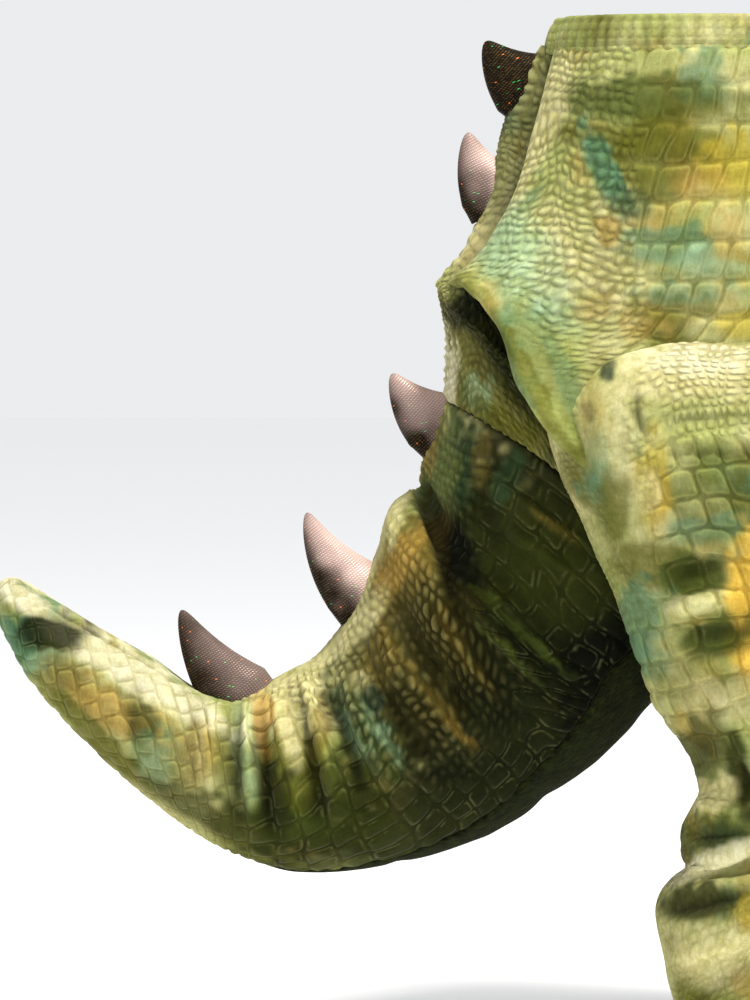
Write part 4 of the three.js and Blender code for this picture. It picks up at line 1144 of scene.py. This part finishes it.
CREASE = ("at0", "angle0", "at1", "angle1", "at2", "angle2", "rise", "width")
CREASES = {}
CREASES["body"] = table(
    CREASE,
    ("pocket lip", 6.85, 20, 6.8, 60, 6.7, 100, 4, 9),
    ("hip wave", 3.2, 30, 4.6, 40, 6.2, 52, 2.4, 13),
    ("hip wave 2", 2.2, 52, 4.0, 62, 6.0, 74, -2, 14),
    ("seat wave", 5.4, 24, 6.0, 34, 6.6, 50, 2.2, 8),
    ("rump fold", 7.3, 28, 7.9, 50, 8.3, 74, -4, 7),
    ("rump roll", 7.9, 20, 8.4, 40, 8.7, 66, 3, 8),
    ("root dent", 10.0, 44, 10.4, 58, 10.7, 70, -4, 10),
    ("root crest", 9.6, 30, 9.9, 62, 10.3, 92, 2.6, 8),
    ("upper line", 9.7, 54, 9.75, 73, 9.64, 96, 3, 3),
    ("root line", 10.3, 62, 10.28, 78, 10.12, 100, 3, 3),
    ("root string", 11.3, 66, 11.42, 82, 11.5, 108, 5, 3.2),
    ("root string, low", 11.85, 66, 11.97, 86, 11.97, 110, 6, 3.6),
    ("root valley", 11.05, 66, 11.15, 86, 11.2, 110, -3, 5),
    ("root string valley", 11.6, 66, 11.68, 86, 11.72, 110, -3.5, 3.4),
    ("bend string", 12.4, 54, 12.6, 76, 12.7, 100, 6.5, 5),
    ("bend string valley", 12.9, 44, 13.1, 72, 13.1, 102, -6, 6),
    ("lit string", 13.4, 34, 13.68, 72, 13.55, 110, 7, 5.5),
    ("lit string valley", 13.9, 36, 14.15, 72, 14.1, 108, -5.5, 6),
    ("turn ridge", 14.5, 30, 14.75, 70, 14.75, 104, 6, 6),
    ("band valley", 15.2, 36, 15.23, 72, 15.45, 108, -9, 5.5),
    ("band ridge", 15.55, 22, 15.65, 62, 15.9, 110, 7, 5),
    ("band valley 2", 15.88, 30, 16.05, 76, 16.3, 120, -9, 5),
    ("band ridge 2", 16.4, 20, 16.6, 66, 16.75, 120, 7, 6),
    ("band valley 3", 17.02, 30, 17.2, 78, 17.27, 128, -9, 4.5),
    ("band ridge 3", 17.35, 20, 17.5, 70, 17.6, 124, 6, 4.5),
    ("slope valley", 17.6, 24, 17.82, 78, 17.88, 126, -8, 4.5),
    ("slope ridge", 18.2, 18, 18.4, 60, 18.4, 104, 5, 6),
    ("slope valley 2", 18.8, 20, 18.95, 80, 18.9, 118, -4, 5),
    ("slope ridge 2", 19.4, 24, 19.5, 66, 19.4, 108, 2.5, 6),
    ("slope valley 3", 19.9, 40, 20.1, 76, 20.0, 110, -3, 5),
    ("dorsal seam", 18.4, 22, 20.6, 24, 23.0, 26, -2.5, 1.7),
    ("tip dent", 21.6, 40, 22.1, 66, 22.5, 96, -2.6, 9),
    ("underside drag", 15.2, 150, 15.4, 180, 15.2, 210, -2, 8),
    ("underside drag 2", 13.0, 148, 13.2, 180, 13.0, 212, -2.5, 9),
)
CREASES["leg_right"] = table(
    CREASE,
    ("haunch dent", 2.6, 40, 2.9, 44, 3.2, 46, -4.5, 6),
    ("haunch rise", 2.5, 52, 3.5, 50, 4.6, 54, 2.4, 10),
    ("pucker", 2.3, 66, 2.9, 67, 3.5, 70, -5.5, 3.4),
    ("haunch crumple", 3.1, 74, 3.0, 84, 3.1, 96, -2.4, 3.6),
    ("haunch crumple 2", 3.45, 74, 3.4, 84, 3.4, 96, 2.2, 4),
    ("haunch crumple 3", 3.8, 72, 3.75, 84, 3.8, 94, -2.4, 3.6),
    ("back wave", 4.4, 22, 5.4, 30, 6.6, 28, -2, 9),
    ("upper dimple", 5.6, 60, 5.5, 71, 5.4, 84, -6, 8),
    ("crumple ridge", 6.15, 56, 6.0, 70, 5.9, 84, 5.5, 5.5),
    ("lower dimple", 6.7, 58, 6.55, 72, 6.5, 88, -7, 7),
    ("knee ridge", 7.15, 52, 7.1, 72, 7.0, 94, 4, 6),
    ("calf ridge", 8.1, 48, 8.3, 72, 8.1, 96, 2.5, 8),
    ("calf groove", 9.3, 14, 9.0, 36, 8.6, 54, -4, 8),
    ("calf fold", 9.1, 62, 9.7, 64, 10.4, 66, -7, 6),
    ("roll lobe", 10.4, 8, 10.6, 34, 10.6, 54, 6, 8),
    ("roll hollow", 10.6, 64, 11.1, 72, 11.4, 88, -6, 8),
    ("roll valley", 11.9, 14, 12.0, 46, 11.9, 90, -8, 8),
    ("tuck fill", 12.55, -30, 12.65, 0, 12.6, 26, 4.5, 9),
    ("roll crest", 13.5, 10, 12.8, 46, 12.35, 90, 9, 7),
    ("low valley", 14.9, 14, 14.8, 52, 14.5, 92, -8, 8),
    ("low crest", 16.1, 16, 15.9, 56, 15.6, 98, 5, 9),
    ("low line", 16.9, 26, 16.6, 56, 16.2, 90, -3, 5),
    ("low line 2", 17.6, 30, 17.3, 60, 17.0, 94, -3, 5),
    ("hem pull", 17.8, 20, 18.2, 44, 17.9, 70, 2, 7),
    ("inner knee", 6.8, 230, 7.1, 262, 6.9, 296, -5, 8),
    ("inner roll", 11.8, 216, 12.0, 262, 11.6, 322, 5, 9),
    ("inner valley", 12.9, 214, 13.1, 262, 12.9, 326, -6, 8),
    ("inner roll 2", 14.4, 210, 14.3, 262, 14.5, 330, 5, 9),
    ("inner valley 2", 15.9, 220, 15.8, 262, 15.9, 316, -5, 9),
    ("front roll", 11.7, 124, 11.9, 148, 11.8, 172, 4, 8),
    ("front valley", 12.8, 120, 13.0, 146, 12.9, 172, -5, 8),
    ("front roll 2", 14.2, 122, 14.2, 148, 14.3, 172, 4, 9),
)
CREASES["leg_left"] = table(
    CREASE,
    ("haunch rise", 2.6, 46, 3.5, 52, 4.8, 60, 2.4, 10),
    ("haunch crumple", 3.3, 62, 3.2, 76, 3.3, 90, -2, 5),
    ("back wave", 4.6, 26, 5.6, 32, 6.8, 30, -2, 9),
    ("knee fold", 6.5, 66, 6.8, 82, 6.6, 102, -4, 7),
    ("knee ridge", 7.1, 60, 7.2, 80, 7.0, 100, 3, 7),
    ("calf groove", 9.5, 34, 9.8, 62, 9.4, 94, -4, 8),
    ("roll crest", 11.7, 16, 11.8, 64, 11.4, 108, 5, 9),
    ("roll valley", 12.9, 14, 13.1, 60, 12.7, 104, -6, 8),
    ("roll crest 2", 14.3, 14, 14.2, 60, 13.8, 108, 5, 9),
    ("roll valley 2", 15.8, 20, 15.8, 60, 15.5, 104, -5, 9),
    ("low crest", 17.0, 30, 16.8, 66, 16.4, 108, 3, 9),
    ("inner knee", 6.8, 228, 7.0, 260, 6.9, 290, -5, 8),
    ("inner roll", 11.8, 214, 12.0, 260, 11.7, 320, 5, 9),
    ("inner valley", 12.9, 212, 13.1, 260, 12.9, 322, -6, 8),
    ("inner roll 2", 14.4, 212, 14.4, 260, 14.4, 326, 5, 9),
)
CREASES["neck"] = table(
    CREASE,
    ("neck wave", 2.4, 20, 2.8, 60, 2.6, 100, -3, 9),
    ("neck wave 2", 3.6, 24, 3.9, 60, 3.7, 104, 2.6, 9),
    ("nape wave", 4.8, 20, 5.0, 56, 4.9, 96, -3, 8),
    ("brow", 7.4, 34, 8.1, 46, 8.8, 44, 3.5, 6),
    ("cheek", 6.4, 70, 7.0, 84, 7.7, 92, 2.5, 7),
    ("snout line", 8.9, 30, 10.2, 34, 11.4, 30, 2, 6),
    ("nostril", 11.2, 38, 11.4, 44, 11.6, 50, -3.5, 4),
)


def other_side(rows):
    """The same creases on the other side of the body, a little shifted so that the two sides differ."""
    made = []
    for k, row in enumerate(rows):
        slip = 0.18 * math.sin(5 * k)
        turned = {**row, "name": row["name"] + ", left", "rise": row["rise"] * (0.85 + 0.2 * math.cos(3 * k))}
        for i in "012":
            turned["angle" + i] = 360 - row["angle" + i] - 3 * math.sin(2 * k)
            turned["at" + i] = row["at" + i] + slip
        made.append(turned)
    return made


CREASES["body"] += other_side([r for r in CREASES["body"] if "underside" not in r["name"]])
CREASES["neck"] += other_side(CREASES["neck"])

# The unevenness of the cloth and of its rows of scales: a height, a pitch and a seed for each wave.
WRINKLES = (0.9, 30, 31), (0.5, 13, 33)
DRIFTS = (6, 52, 41), (10, 66, 43)
CELL_WAVERS = (2.4, 15, 45), (2.4, 15, 47)
PEBBLE_STRAYS = (5, 27, 55), (6, 31, 57)
PEBBLE_WAVERS = (2.6, 9, 49), (2.2, 9, 53)


def panel(name, tube, creases, span, edges, step, seed, cell=(17, 20), pebble=(8.5, 6.8), relief=(1.3, 0.9),
          large=None, worn=None, form=None, painted_shade=None, rolls=(), origin="middle", cutters=(), cloth=CLOTH,
          material=SCALE, warp=None, slant=0.0, stretch=None, beads=None):
    """One cut piece of cloth: laid on its tube, creased, rolled in at its seams and embossed.

    cell, pebble and relief are the embossed scales' sizes and heights. large, worn, beads and form give, for each
    point, the share of large cells, how rubbed the scales are, how strongly the pebbles are painted as beads, with
    a painted highlight on their tops and painted shade in their gaps, and an added rise.
    warp, slant and stretch bend the rows of scales, and origin is the border that they are counted from."""
    at, angle, width, height = lay(tube, *span, edges, step)
    place = warp(at, angle) if warp else at
    p = tube.point(place, angle)
    if warp:
        height = np.concatenate((0 * height[:1], np.cumsum(np.linalg.norm(np.diff(p, axis=0), axis=-1), 0)))
    like = tube.normal(place, angle)
    n = normals(p, like)
    folded = crease_height(tube, CREASES.get(creases, ()), p)
    p = p + n * folded[..., None]
    h = ripple(p, seed, *WRINKLES)
    n = normals(p, like)
    across = width - {"low": 0, "middle": width[:, -1:] / 2, "high": width[:, -1:]}[origin]
    shear = slant(at) if callable(slant) else slant + 0 * at
    down = height + shear * across
    across = across - np.cumsum(shear * np.gradient(height, axis=0), 0)
    drifted = [run + ripple(p, seed, drift) for run, drift in zip((across, down), DRIFTS)]
    u, v = ((drifted[k] + ripple(p, seed, CELL_WAVERS[k])) / cell[k] for k in (0, 1))
    su, sv = ((drifted[k] + ripple(p, seed, PEBBLE_STRAYS[k], PEBBLE_WAVERS[k])) / pebble[k] for k in (0, 1))
    if stretch:
        wide, low = stretch(at)
        u, v = u * wide, v + np.cumsum((low - 1) * np.gradient(down, axis=0), 0) / cell[1]
    share = large(p, at, angle) if large else np.ones(at.shape)
    flat = smooth(noise(p, 60, seed + 51) + 0.4 * noise(p, 22, seed + 59), 0.1, 0.9) * 0.5
    if worn:
        flat = np.maximum(flat, worn(p, at, angle))
    if relief:
        big = smooth(cell_edges(u, v, LARGE_ROUND), 0, 0.28)
        small = smooth(cell_edges(su, sv, PEBBLE_ROUND), 0, 0.42)
        uneven = 0.75 + 0.5 * noise(p, 11, seed + 61)
        small = uneven * relief[1] * (small - 0.6)
        h = h + (1 - flat) * (share * relief[0] * (big - 0.6) + (1 - share) * small)
    h = h + edge_roll(width, height, {side: SEAM_ROLL for side in rolls} if isinstance(rolls, tuple) else rolls)
    if form:
        shaped = form(p, at, angle)
        h, folded = h + shaped, folded + shaped
    p = p + n * h[..., None]
    # The colour is darker in the creases and hollows, as painted shade, and lighter on the ridges, as painted
    # light.
    shade = np.clip(1 + 0.075 * folded, 0.45, 1.35)
    tint = cloth_tint(p, seed, name.split("_")[0]) * shade[..., None]
    # The given ink darkens the colour by a share that depends on the section: painted shade.
    if painted_shade:
        ink, amount = painted_shade
        tint = tint + (np.array(INK[ink]) ** CONTRAST * ALBEDO - tint) * amount(at)[..., None]
    # The painted beads, stronger on the crests: a painted highlight on their tops and painted shade in their gaps.
    beaded = beads(at, angle) * np.clip(0.25 + 0.13 * folded, 0, 1) if beads else 0 * at
    obj, i, j = add_grid(name, p)
    face_outwards(obj.data, like[i, j])
    store(obj.data, tint=tint[i, j], large=share[i, j], worn=flat[i, j], beaded=beaded[i, j])
    store_uv(obj.data, "scales", u[i, j], v[i, j])
    store_uv(obj.data, "pebbles", su[i, j], sv[i, j])
    if cutters:
        cut_inside(obj, p[i, j], cutters)
    finish_piece(obj, name, material, cloth)


def hip_edges(at):
    return 0 * at + RIDGE_EDGE, under_seam(at)


def side_edges(at):
    return 0 * at, under_seam(at)


def under_edges(at):
    return under_seam(at), 360 - under_seam(at)


def throat_edges(at):
    return 0 * at, throat_seam(at)


def chin_edges(at):
    return throat_seam(at), 360 - throat_seam(at)


def between(low, high):
    return lambda at: (0 * at + low, 0 * at + high)


def sided(edges, side):
    """The same borders on the left, where angles run on to 360."""
    if side == "right":
        return edges
    return lambda at: tuple(360 - e for e in reversed(edges(at)))


FOLD_ROW, TAIL_ROW = body.row("fold"), body.row("tail seam")
UNDER_END = body.row("rise") + 0.3
HEM_ROW = legs["right"].row("hem")
JAW_ROW = neck.row("jaw corner")


def hip_large(p, at, angle):
    """The large cells lie in front of a wavy line."""
    edge = -46 + 9 * noise(p, 24, 61) + 5 * noise(p, 10, 63)
    return smooth(p[..., 0] - edge, -4, 4)


def leg_large(p, at, angle):
    """The large cells lie on the front of the thigh and the calf, down to the roll above the ankle."""
    side = p[..., 0] - 0.4 * (p[..., 2] + 400) * (p[..., 2] < -400)
    low = smooth(p[..., 2] + 520, -14, 14)
    start = smooth(-p[..., 2] - 288 + 5 * noise(p, 26, 67), -5, 5)
    return start * low * smooth(side + 38 + 6 * noise(p, 20, 65), -5, 5)


# How far the tail's pebbles reach from its top, in degrees.
pebbled_back = profile(
    ("tail seam", 9, 56),
    ("crease", 11, 60),
    ("above the bend", 12, 72),
    ("bend", 12.6, 112),
    ("below the bend", 14.3, 112),
    ("turn", 15.2, 56),
    ("level", 16.5, 34),
    ("rise", 18, 12),
    ("end", 25, 0),
)


def tail_large(p, at, angle):
    """The large cells lie on either side of the pebbled back."""
    return smooth(turn_from_back(angle) - pebbled_back(at) + 7 * noise(p, 24, 69), -5, 5)


def tail_worn(p, at, angle):
    """The root is rubbed nearly smooth, apart from its transverse ridges, and so is the top of the slope."""
    side = turn_from_back(angle)
    root = (1 - smooth(at, 11.2, 12.2)) * (0.15 + 0.4 * noise(p, 26, 83))
    return np.clip(np.maximum(root, smooth(-side, -24, -12) * smooth(at, 10, 12) * 0.8), 0, 0.9)


def tail_beads(at, angle):
    """Where the bend squeezes the pebbles into strings of beads, which get a painted highlight on their tops and
    painted shade in their gaps.
    """
    side = turn_from_back(angle)
    return smooth(at, 11.7, 12.3) * smooth(-at, -15.3, -14.5) * smooth(-side, -116, -92) * smooth(side, 20, 40)


def tail_stretch(at):
    """The cells of the root are wider and lower than the others."""
    root = 1 - smooth(at, 11.6, 12.8)
    return 1 - 0.32 * root, 1 + 0.35 * root


def leg_worn(p, at, angle):
    """Apart from the crumpled cloth below the crown, the pebbled part is soft and nearly smooth."""
    side = turn_from_back(angle)
    crumpled = smooth(side, 58, 70) * smooth(-at, -4.2, -3.6)
    band = smooth(side, 30, 40) * smooth(-side, -66, -58) * smooth(-at, -6.4, -5.2)
    soft = 0.55 + 0.35 * noise(p, 24, 87)
    return np.clip(np.maximum(soft * (1 - crumpled), 0.9 * band) * (1 - leg_large(p, at, angle)), 0, 0.92)


def pebbled(p, at, angle):
    """No large cells at all."""
    return 0 * at


# How many rows the hip's lower edge is pulled up above the fold.
lip_rise = profile(
    ("back", 6, 0),
    ("corner", 14, 0.5),
    ("over the corner", 20, 0.85),
    ("top", 27, 1.1),
    ("turn", 37, 1.15),
    ("upper", 46, 0.85),
    ("middle", 56, 0.5),
    ("lower", 66, 0.2),
    ("end", 80, 0),
)


def hip_warp(at, angle):
    """Pulls the hip's lower rows up to its edge."""
    return at - lip_rise(turn_from_back(angle)) * smooth(at, FOLD_ROW - 3.8, FOLD_ROW)


def rump_warp(at, angle):
    """Pulls the gusset's upper rows up along with the hip's edge."""
    return at - lip_rise(turn_from_back(angle)) * (1 - smooth(at, FOLD_ROW, TAIL_ROW))


def hip_lip(p, at, angle):
    """The hip's lower edge stands out over the gusset, most at the side."""
    side = turn_from_back(angle)
    near = np.exp(-(((FOLD_ROW - at) / 0.34) ** 2))
    return 4 * near * smooth(side, 4, 18) * smooth(-side, -100, -66)


def pocket(p, at, angle):
    """The gusset is drawn in under the hip's edge and comes out to its seam with the tail."""
    side = turn_from_back(angle)
    depth = 17 * smooth(side, 12, 44) + 0.5
    return -depth * smooth(-(at - FOLD_ROW), -1.9, -0.1) * smooth(-side, -120, -80)


# Where the tail folds over itself, and about how high a row is there.
ROW_HEIGHT = 30
overlap_line = profile(
    ("top", 0, 10.9),
    ("upper", 16, 11.28),
    ("turn", 32, 11.45),
    ("middle", 44, 11.62),
    ("lower", 53, 11.88),
    ("low", 62, 12.15),
    ("end", 80, 12.45),
)


def overlap(p, at, angle):
    """Below the tail's sharp bend the cloth folds up over the cloth above it."""
    side = turn_from_back(angle)
    gap = (at - overlap_line(side)) * ROW_HEIGHT
    lip = 7 * smooth(gap, -2.5, 2) * np.exp(-((np.maximum(gap, 0) / 22) ** 2))
    under = -8 * np.exp(-((np.minimum(gap, 0) / 15) ** 2)) * (1 - smooth(gap, -2.5, 2))
    return (lip + under) * smooth(side, 1, 9) * smooth(-side, -80, -52)


def hip_worn(p, at, angle):
    """The rolled rear edge and the cloth that hangs over the gusset are rubbed smooth."""
    side = turn_from_back(angle)
    drop = smooth(at, 5.6, 6.4) * smooth(side, 20, 40)
    return np.maximum(smooth(-side, -23, -18), 0.85 * drop)


HIP_SPAN, LEG_SPAN = (BAND_END - TUCKED, FOLD_ROW), (0, HEM_ROW + TUCKED)
for side, seed, turn in (("right", 1, 1), ("left", 101, -1)):
    step = FINE if side == "right" else PLAIN
    near, far = ("low", "high") if side == "right" else ("high", "low")
    key = "leg_" + side
    panel(f"hip_{side}", body, "body", HIP_SPAN, sided(hip_edges, side), step, seed,
          cell=(17, 27), pebble=(9.5, 7.4), origin=near, cutters=(key, "neck"),
          rolls={near: HIP_REAR_ROLL, far: SEAM_ROLL, "start": SEAM_ROLL, "end": HIP_LIP_ROLL},
          large=hip_large, worn=hip_worn, form=hip_lip, warp=hip_warp)
    panel(f"rump_{side}", body, "body", (FOLD_ROW - 0.5, TAIL_ROW), sided(side_edges, side), step, seed,
          relief=(1.3, 2.6), rolls=(near, "end"), origin=near, cutters=(key,),
          large=pebbled, form=pocket, warp=rump_warp)
    panel(f"tail_{side}", body, "body", (TAIL_ROW, body.last), sided(side_edges, side), step, seed,
          cell=(17, 19), pebble=(9.5, 8), relief=(1.5, 2.7), rolls=("low", "high", "start"), origin=near,
          cutters=(key,), large=tail_large, worn=tail_worn, beads=tail_beads, form=overlap,
          stretch=tail_stretch, slant=lambda at, turn=turn: 0.6 * turn * smooth(at, 17.6, 19.4))
    for half, borders in (("outer", (0, 180)), ("inner", (180, 360))):
        panel(f"{key}_{half}", legs[side], key, LEG_SPAN, between(*borders),
              step if half == "outer" else PLAIN, seed + 5, cell=(21, 21), relief=(2.2, 1.0),
              rolls=("low", "high", "end"), cutters=("body",), large=leg_large, worn=leg_worn, slant=0.2 * turn)
    panel(f"neck_{side}", neck, "neck", (0, JAW_ROW), sided(throat_edges, side), PLAIN, seed + 9,
          rolls=("low", "high", "end"), origin=near, cutters=("body",))
    panel(f"head_{side}", neck, "neck", (JAW_ROW, neck.last), sided(throat_edges, side), HEAD_STEP, seed + 9,
          rolls=("low", "high", "start"), origin=near, large=pebbled, cloth=HEAD_CLOTH)

for name, tube, creases, span, edges, ends, cutters, cloth in (
    ("belly", body, "body", HIP_SPAN, under_edges, ("start", "end"), ("leg_right", "leg_left", "neck"), CLOTH),
    ("tail_under", body, "body", (FOLD_ROW, UNDER_END), under_edges, ("start",), ("leg_right", "leg_left"), CLOTH),
    ("throat", neck, "neck", (0, JAW_ROW), chin_edges, ("end",), ("body",), CLOTH),
    ("jaw", neck, "neck", (JAW_ROW, neck.last), chin_edges, ("start",), (), HEAD_CLOTH),
):
    panel(name, tube, creases, span, edges, PLAIN, 3, cell=(20, 20), rolls=("low", "high", *ends),
          cutters=cutters, relief=None, cloth=cloth, material=DARK)

# ---------------------------------------------------------------- back strip, waistband and cuffs

RIDGE_RISE, RIDGE_TUCK, RIDGE_END = 14, 2.4, FOLD_ROW - 0.15


def ridge_lift(p, at, angle):
    """The strip is padded along its middle, and its edges run under the hips."""
    turned = turn_from_back(angle) / RIDGE_EDGE
    fade = np.clip((5 - at) / 2.6, 0.1, 1)
    rise = RIDGE_RISE * fade * np.exp(-((turned / 0.5) ** 2)) * (0.3 + 0.7 * smooth(at, BAND_END - TUCKED, 1.2))
    return rise - (CLOTH + RIDGE_TUCK) * smooth(turned, 0.25, 0.75)


# The strip is darkened towards the waist with painted shade, fading out down the back.
panel("back_ridge", body, None, (BAND_END - TUCKED, RIDGE_END), between(343, 377), FINE, 15, large=pebbled,
      relief=(1, 1.5), form=ridge_lift, painted_shade=("dark", lambda at: 0.6 - 0.5 * smooth(at, 3.3, 4.4)))


STITCH_LINES, STITCH_WIDTH = (0.16, 0.84), 0.05
BAND_CELL, BAND_PEBBLE = (17, 20), (7, 6)


def band(name, tube, start, end, gathers, depth):
    """An elastic ring in its casing, gathered all round, with a stitched line near each edge."""
    at, angle, width, height = lay(tube, start, end, between(0, 360), BAND_STEP)
    p = tube.point(at, angle)
    n = tube.normal(at, angle)
    turn = np.radians(angle)
    tall = height / height[-1:]
    wave = np.sin(gathers * turn + 0.9 * np.sin(7 * turn) + 0.5 * tall) * (0.75 + 0.25 * np.sin(11 * turn))
    dome = np.sqrt(np.clip(1 - (2 * tall - 1) ** 2, 0, 1))
    stitch = sum(np.exp(-(((tall - line) / STITCH_WIDTH) ** 2)) for line in STITCH_LINES)
    h = 0.8 - 2.2 * (1 - dome) + depth * wave * (0.4 + 0.6 * dome) - 0.9 * stitch
    q = p + n * h[..., None]
    obj, i, j = add_grid(name, q)
    face_outwards(obj.data, n[i, j])
    # Darker in the troughs of the gathers: painted shade.
    tint = cloth_tint(q, 77, "band") * (0.78 + 0.22 * smooth(wave, -1, 0.6))[..., None]
    store(obj.data, tint=tint[i, j], large=0 * i, worn=0.7 + 0 * i)
    store_uv(obj.data, "scales", width[i, j] / BAND_CELL[0], height[i, j] / BAND_CELL[1])
    store_uv(obj.data, "pebbles", width[i, j] / BAND_PEBBLE[0], height[i, j] / BAND_PEBBLE[1])
    weld(obj)
    finish_piece(obj, name, SCALE, BAND_CLOTH)


band("waistband", body, 0, BAND_END, 62, 1.3)
band("cuff_right", legs["right"], HEM_ROW, legs["right"].last, 34, 1.2)
band("cuff_left", legs["left"], HEM_ROW, legs["left"].last, 34, 1.2)

# ---------------------------------------------------------------- spikes and eyes

# How full the spikes are stuffed, and the pitch of their knit's dots.
SPIKE_FILL, DOT_PITCH = 0.8, 1.9
# The last column is how strong each spike's painted highlight is.
SPIKES = table(
    ("baseX", "baseZ", "tipX", "tipZ", "length", "width", "hook", "glow"),
    ("spike_1", -120, -46, -150, -19, 56, 34, 8, 0.0),
    ("spike_2", -142, -124, -163, -83, 50, 32, 8, 0.95),
    ("spike_3", -184, -288, -217, -257, 52, 36, 9, 0.8),
    ("spike_4", -239, -410, -279, -357, 52, 40, 11, 1.0),
    ("spike_5", -328, -483, -369, -427, 54, 38, 9, 0.25),
)


def spike(row):
    """A stuffed spike: hooked, blunt at the tip, with a seam along its front and back."""
    base, tip = np.array([row["baseX"], 0, row["baseZ"]]), np.array([row["tipX"], 0, row["tipZ"]])
    reach = np.linalg.norm(tip - base)
    out = (tip - base) / reach
    fore, side = np.array([-out[2], 0, out[0]]), np.array([0, 1, 0])
    # The grid runs from inside the cloth to the tip, with closer rings at the tip.
    t = np.concatenate((np.linspace(-0.3, 0.9, 34), 0.9 + 0.1 * np.sin(np.linspace(0, math.pi / 2, 8))[1:]))
    rise = np.maximum(0, t)
    size = np.sqrt(np.maximum(0, 1 - rise)) * (1 - 0.35 * rise)
    size[-1] = 0.02
    turn = np.linspace(0, 2 * math.pi, 57)
    centre = base + np.outer(t, out) * reach
    centre += np.outer(row["hook"] * (rise - rise * rise) * 2 - row["hook"] * 0.3 * rise, fore)
    seam = np.exp(-((np.sin(turn) / 0.12) ** 2)) * 0.05
    pucker = 0.02 * np.sin(14 * turn) * np.exp(-((t - 0.02) / 0.1)[:, None] ** 2)
    swell = size[:, None] * (1 - seam + pucker)
    p = centre[:, None] + (swell * np.cos(turn))[..., None] * fore * row["length"] / 2
    p = p + (swell * np.sin(turn))[..., None] * side * row["width"] / 2
    obj, i, j = add_grid(row["name"], p)
    face_outwards(obj.data, (p - centre[:, None])[i, j])
    around = np.concatenate(([0], np.cumsum(np.linalg.norm(np.diff(p[12], axis=0), axis=1))))
    u = around[None, :] / DOT_PITCH * (0.35 + 0.65 * size[:, None] / size.max())
    v = t[:, None] * reach / DOT_PITCH + 0 * u
    store_uv(obj.data, "scales", u[i, j], v[i, j])
    # How far each point faces upwards, which sets where the painted highlight falls.
    upper = (p - centre[:, None]) @ (0.25 * out - 0.8 * fore)
    upper = upper / (row["length"] / 2 * size.max()) + 0.25 * noise(p, 12, 91)
    store(obj.data, glow=(row["glow"] * smooth(upper, -0.6, 0.7))[i, j])
    weld(obj, close=True)
    finish_piece(obj, row["name"], GLITTER, 0)


for row in SPIKES:
    spike(row)


EYE_RADIUS, EYE_SHOWN = 13, 7


def eye(name, degrees):
    """A plain domed button, sunk into the head up to its shown height."""
    at, angle = np.array([[neck.row("brow") + 0.1]]), np.array([[float(degrees)]])
    place = (neck.point(at, angle) + neck.normal(at, angle) * (EYE_SHOWN - EYE_RADIUS))[0, 0]
    bm = bmesh.new()
    bmesh.ops.create_uvsphere(bm, u_segments=40, v_segments=24, radius=EYE_RADIUS * MM)
    bmesh.ops.translate(bm, verts=bm.verts, vec=Vector(place * MM))
    finish_piece(add_mesh(name, bm), name, EYE, 0)


eye("eye_right", 60)
eye("eye_left", 300)
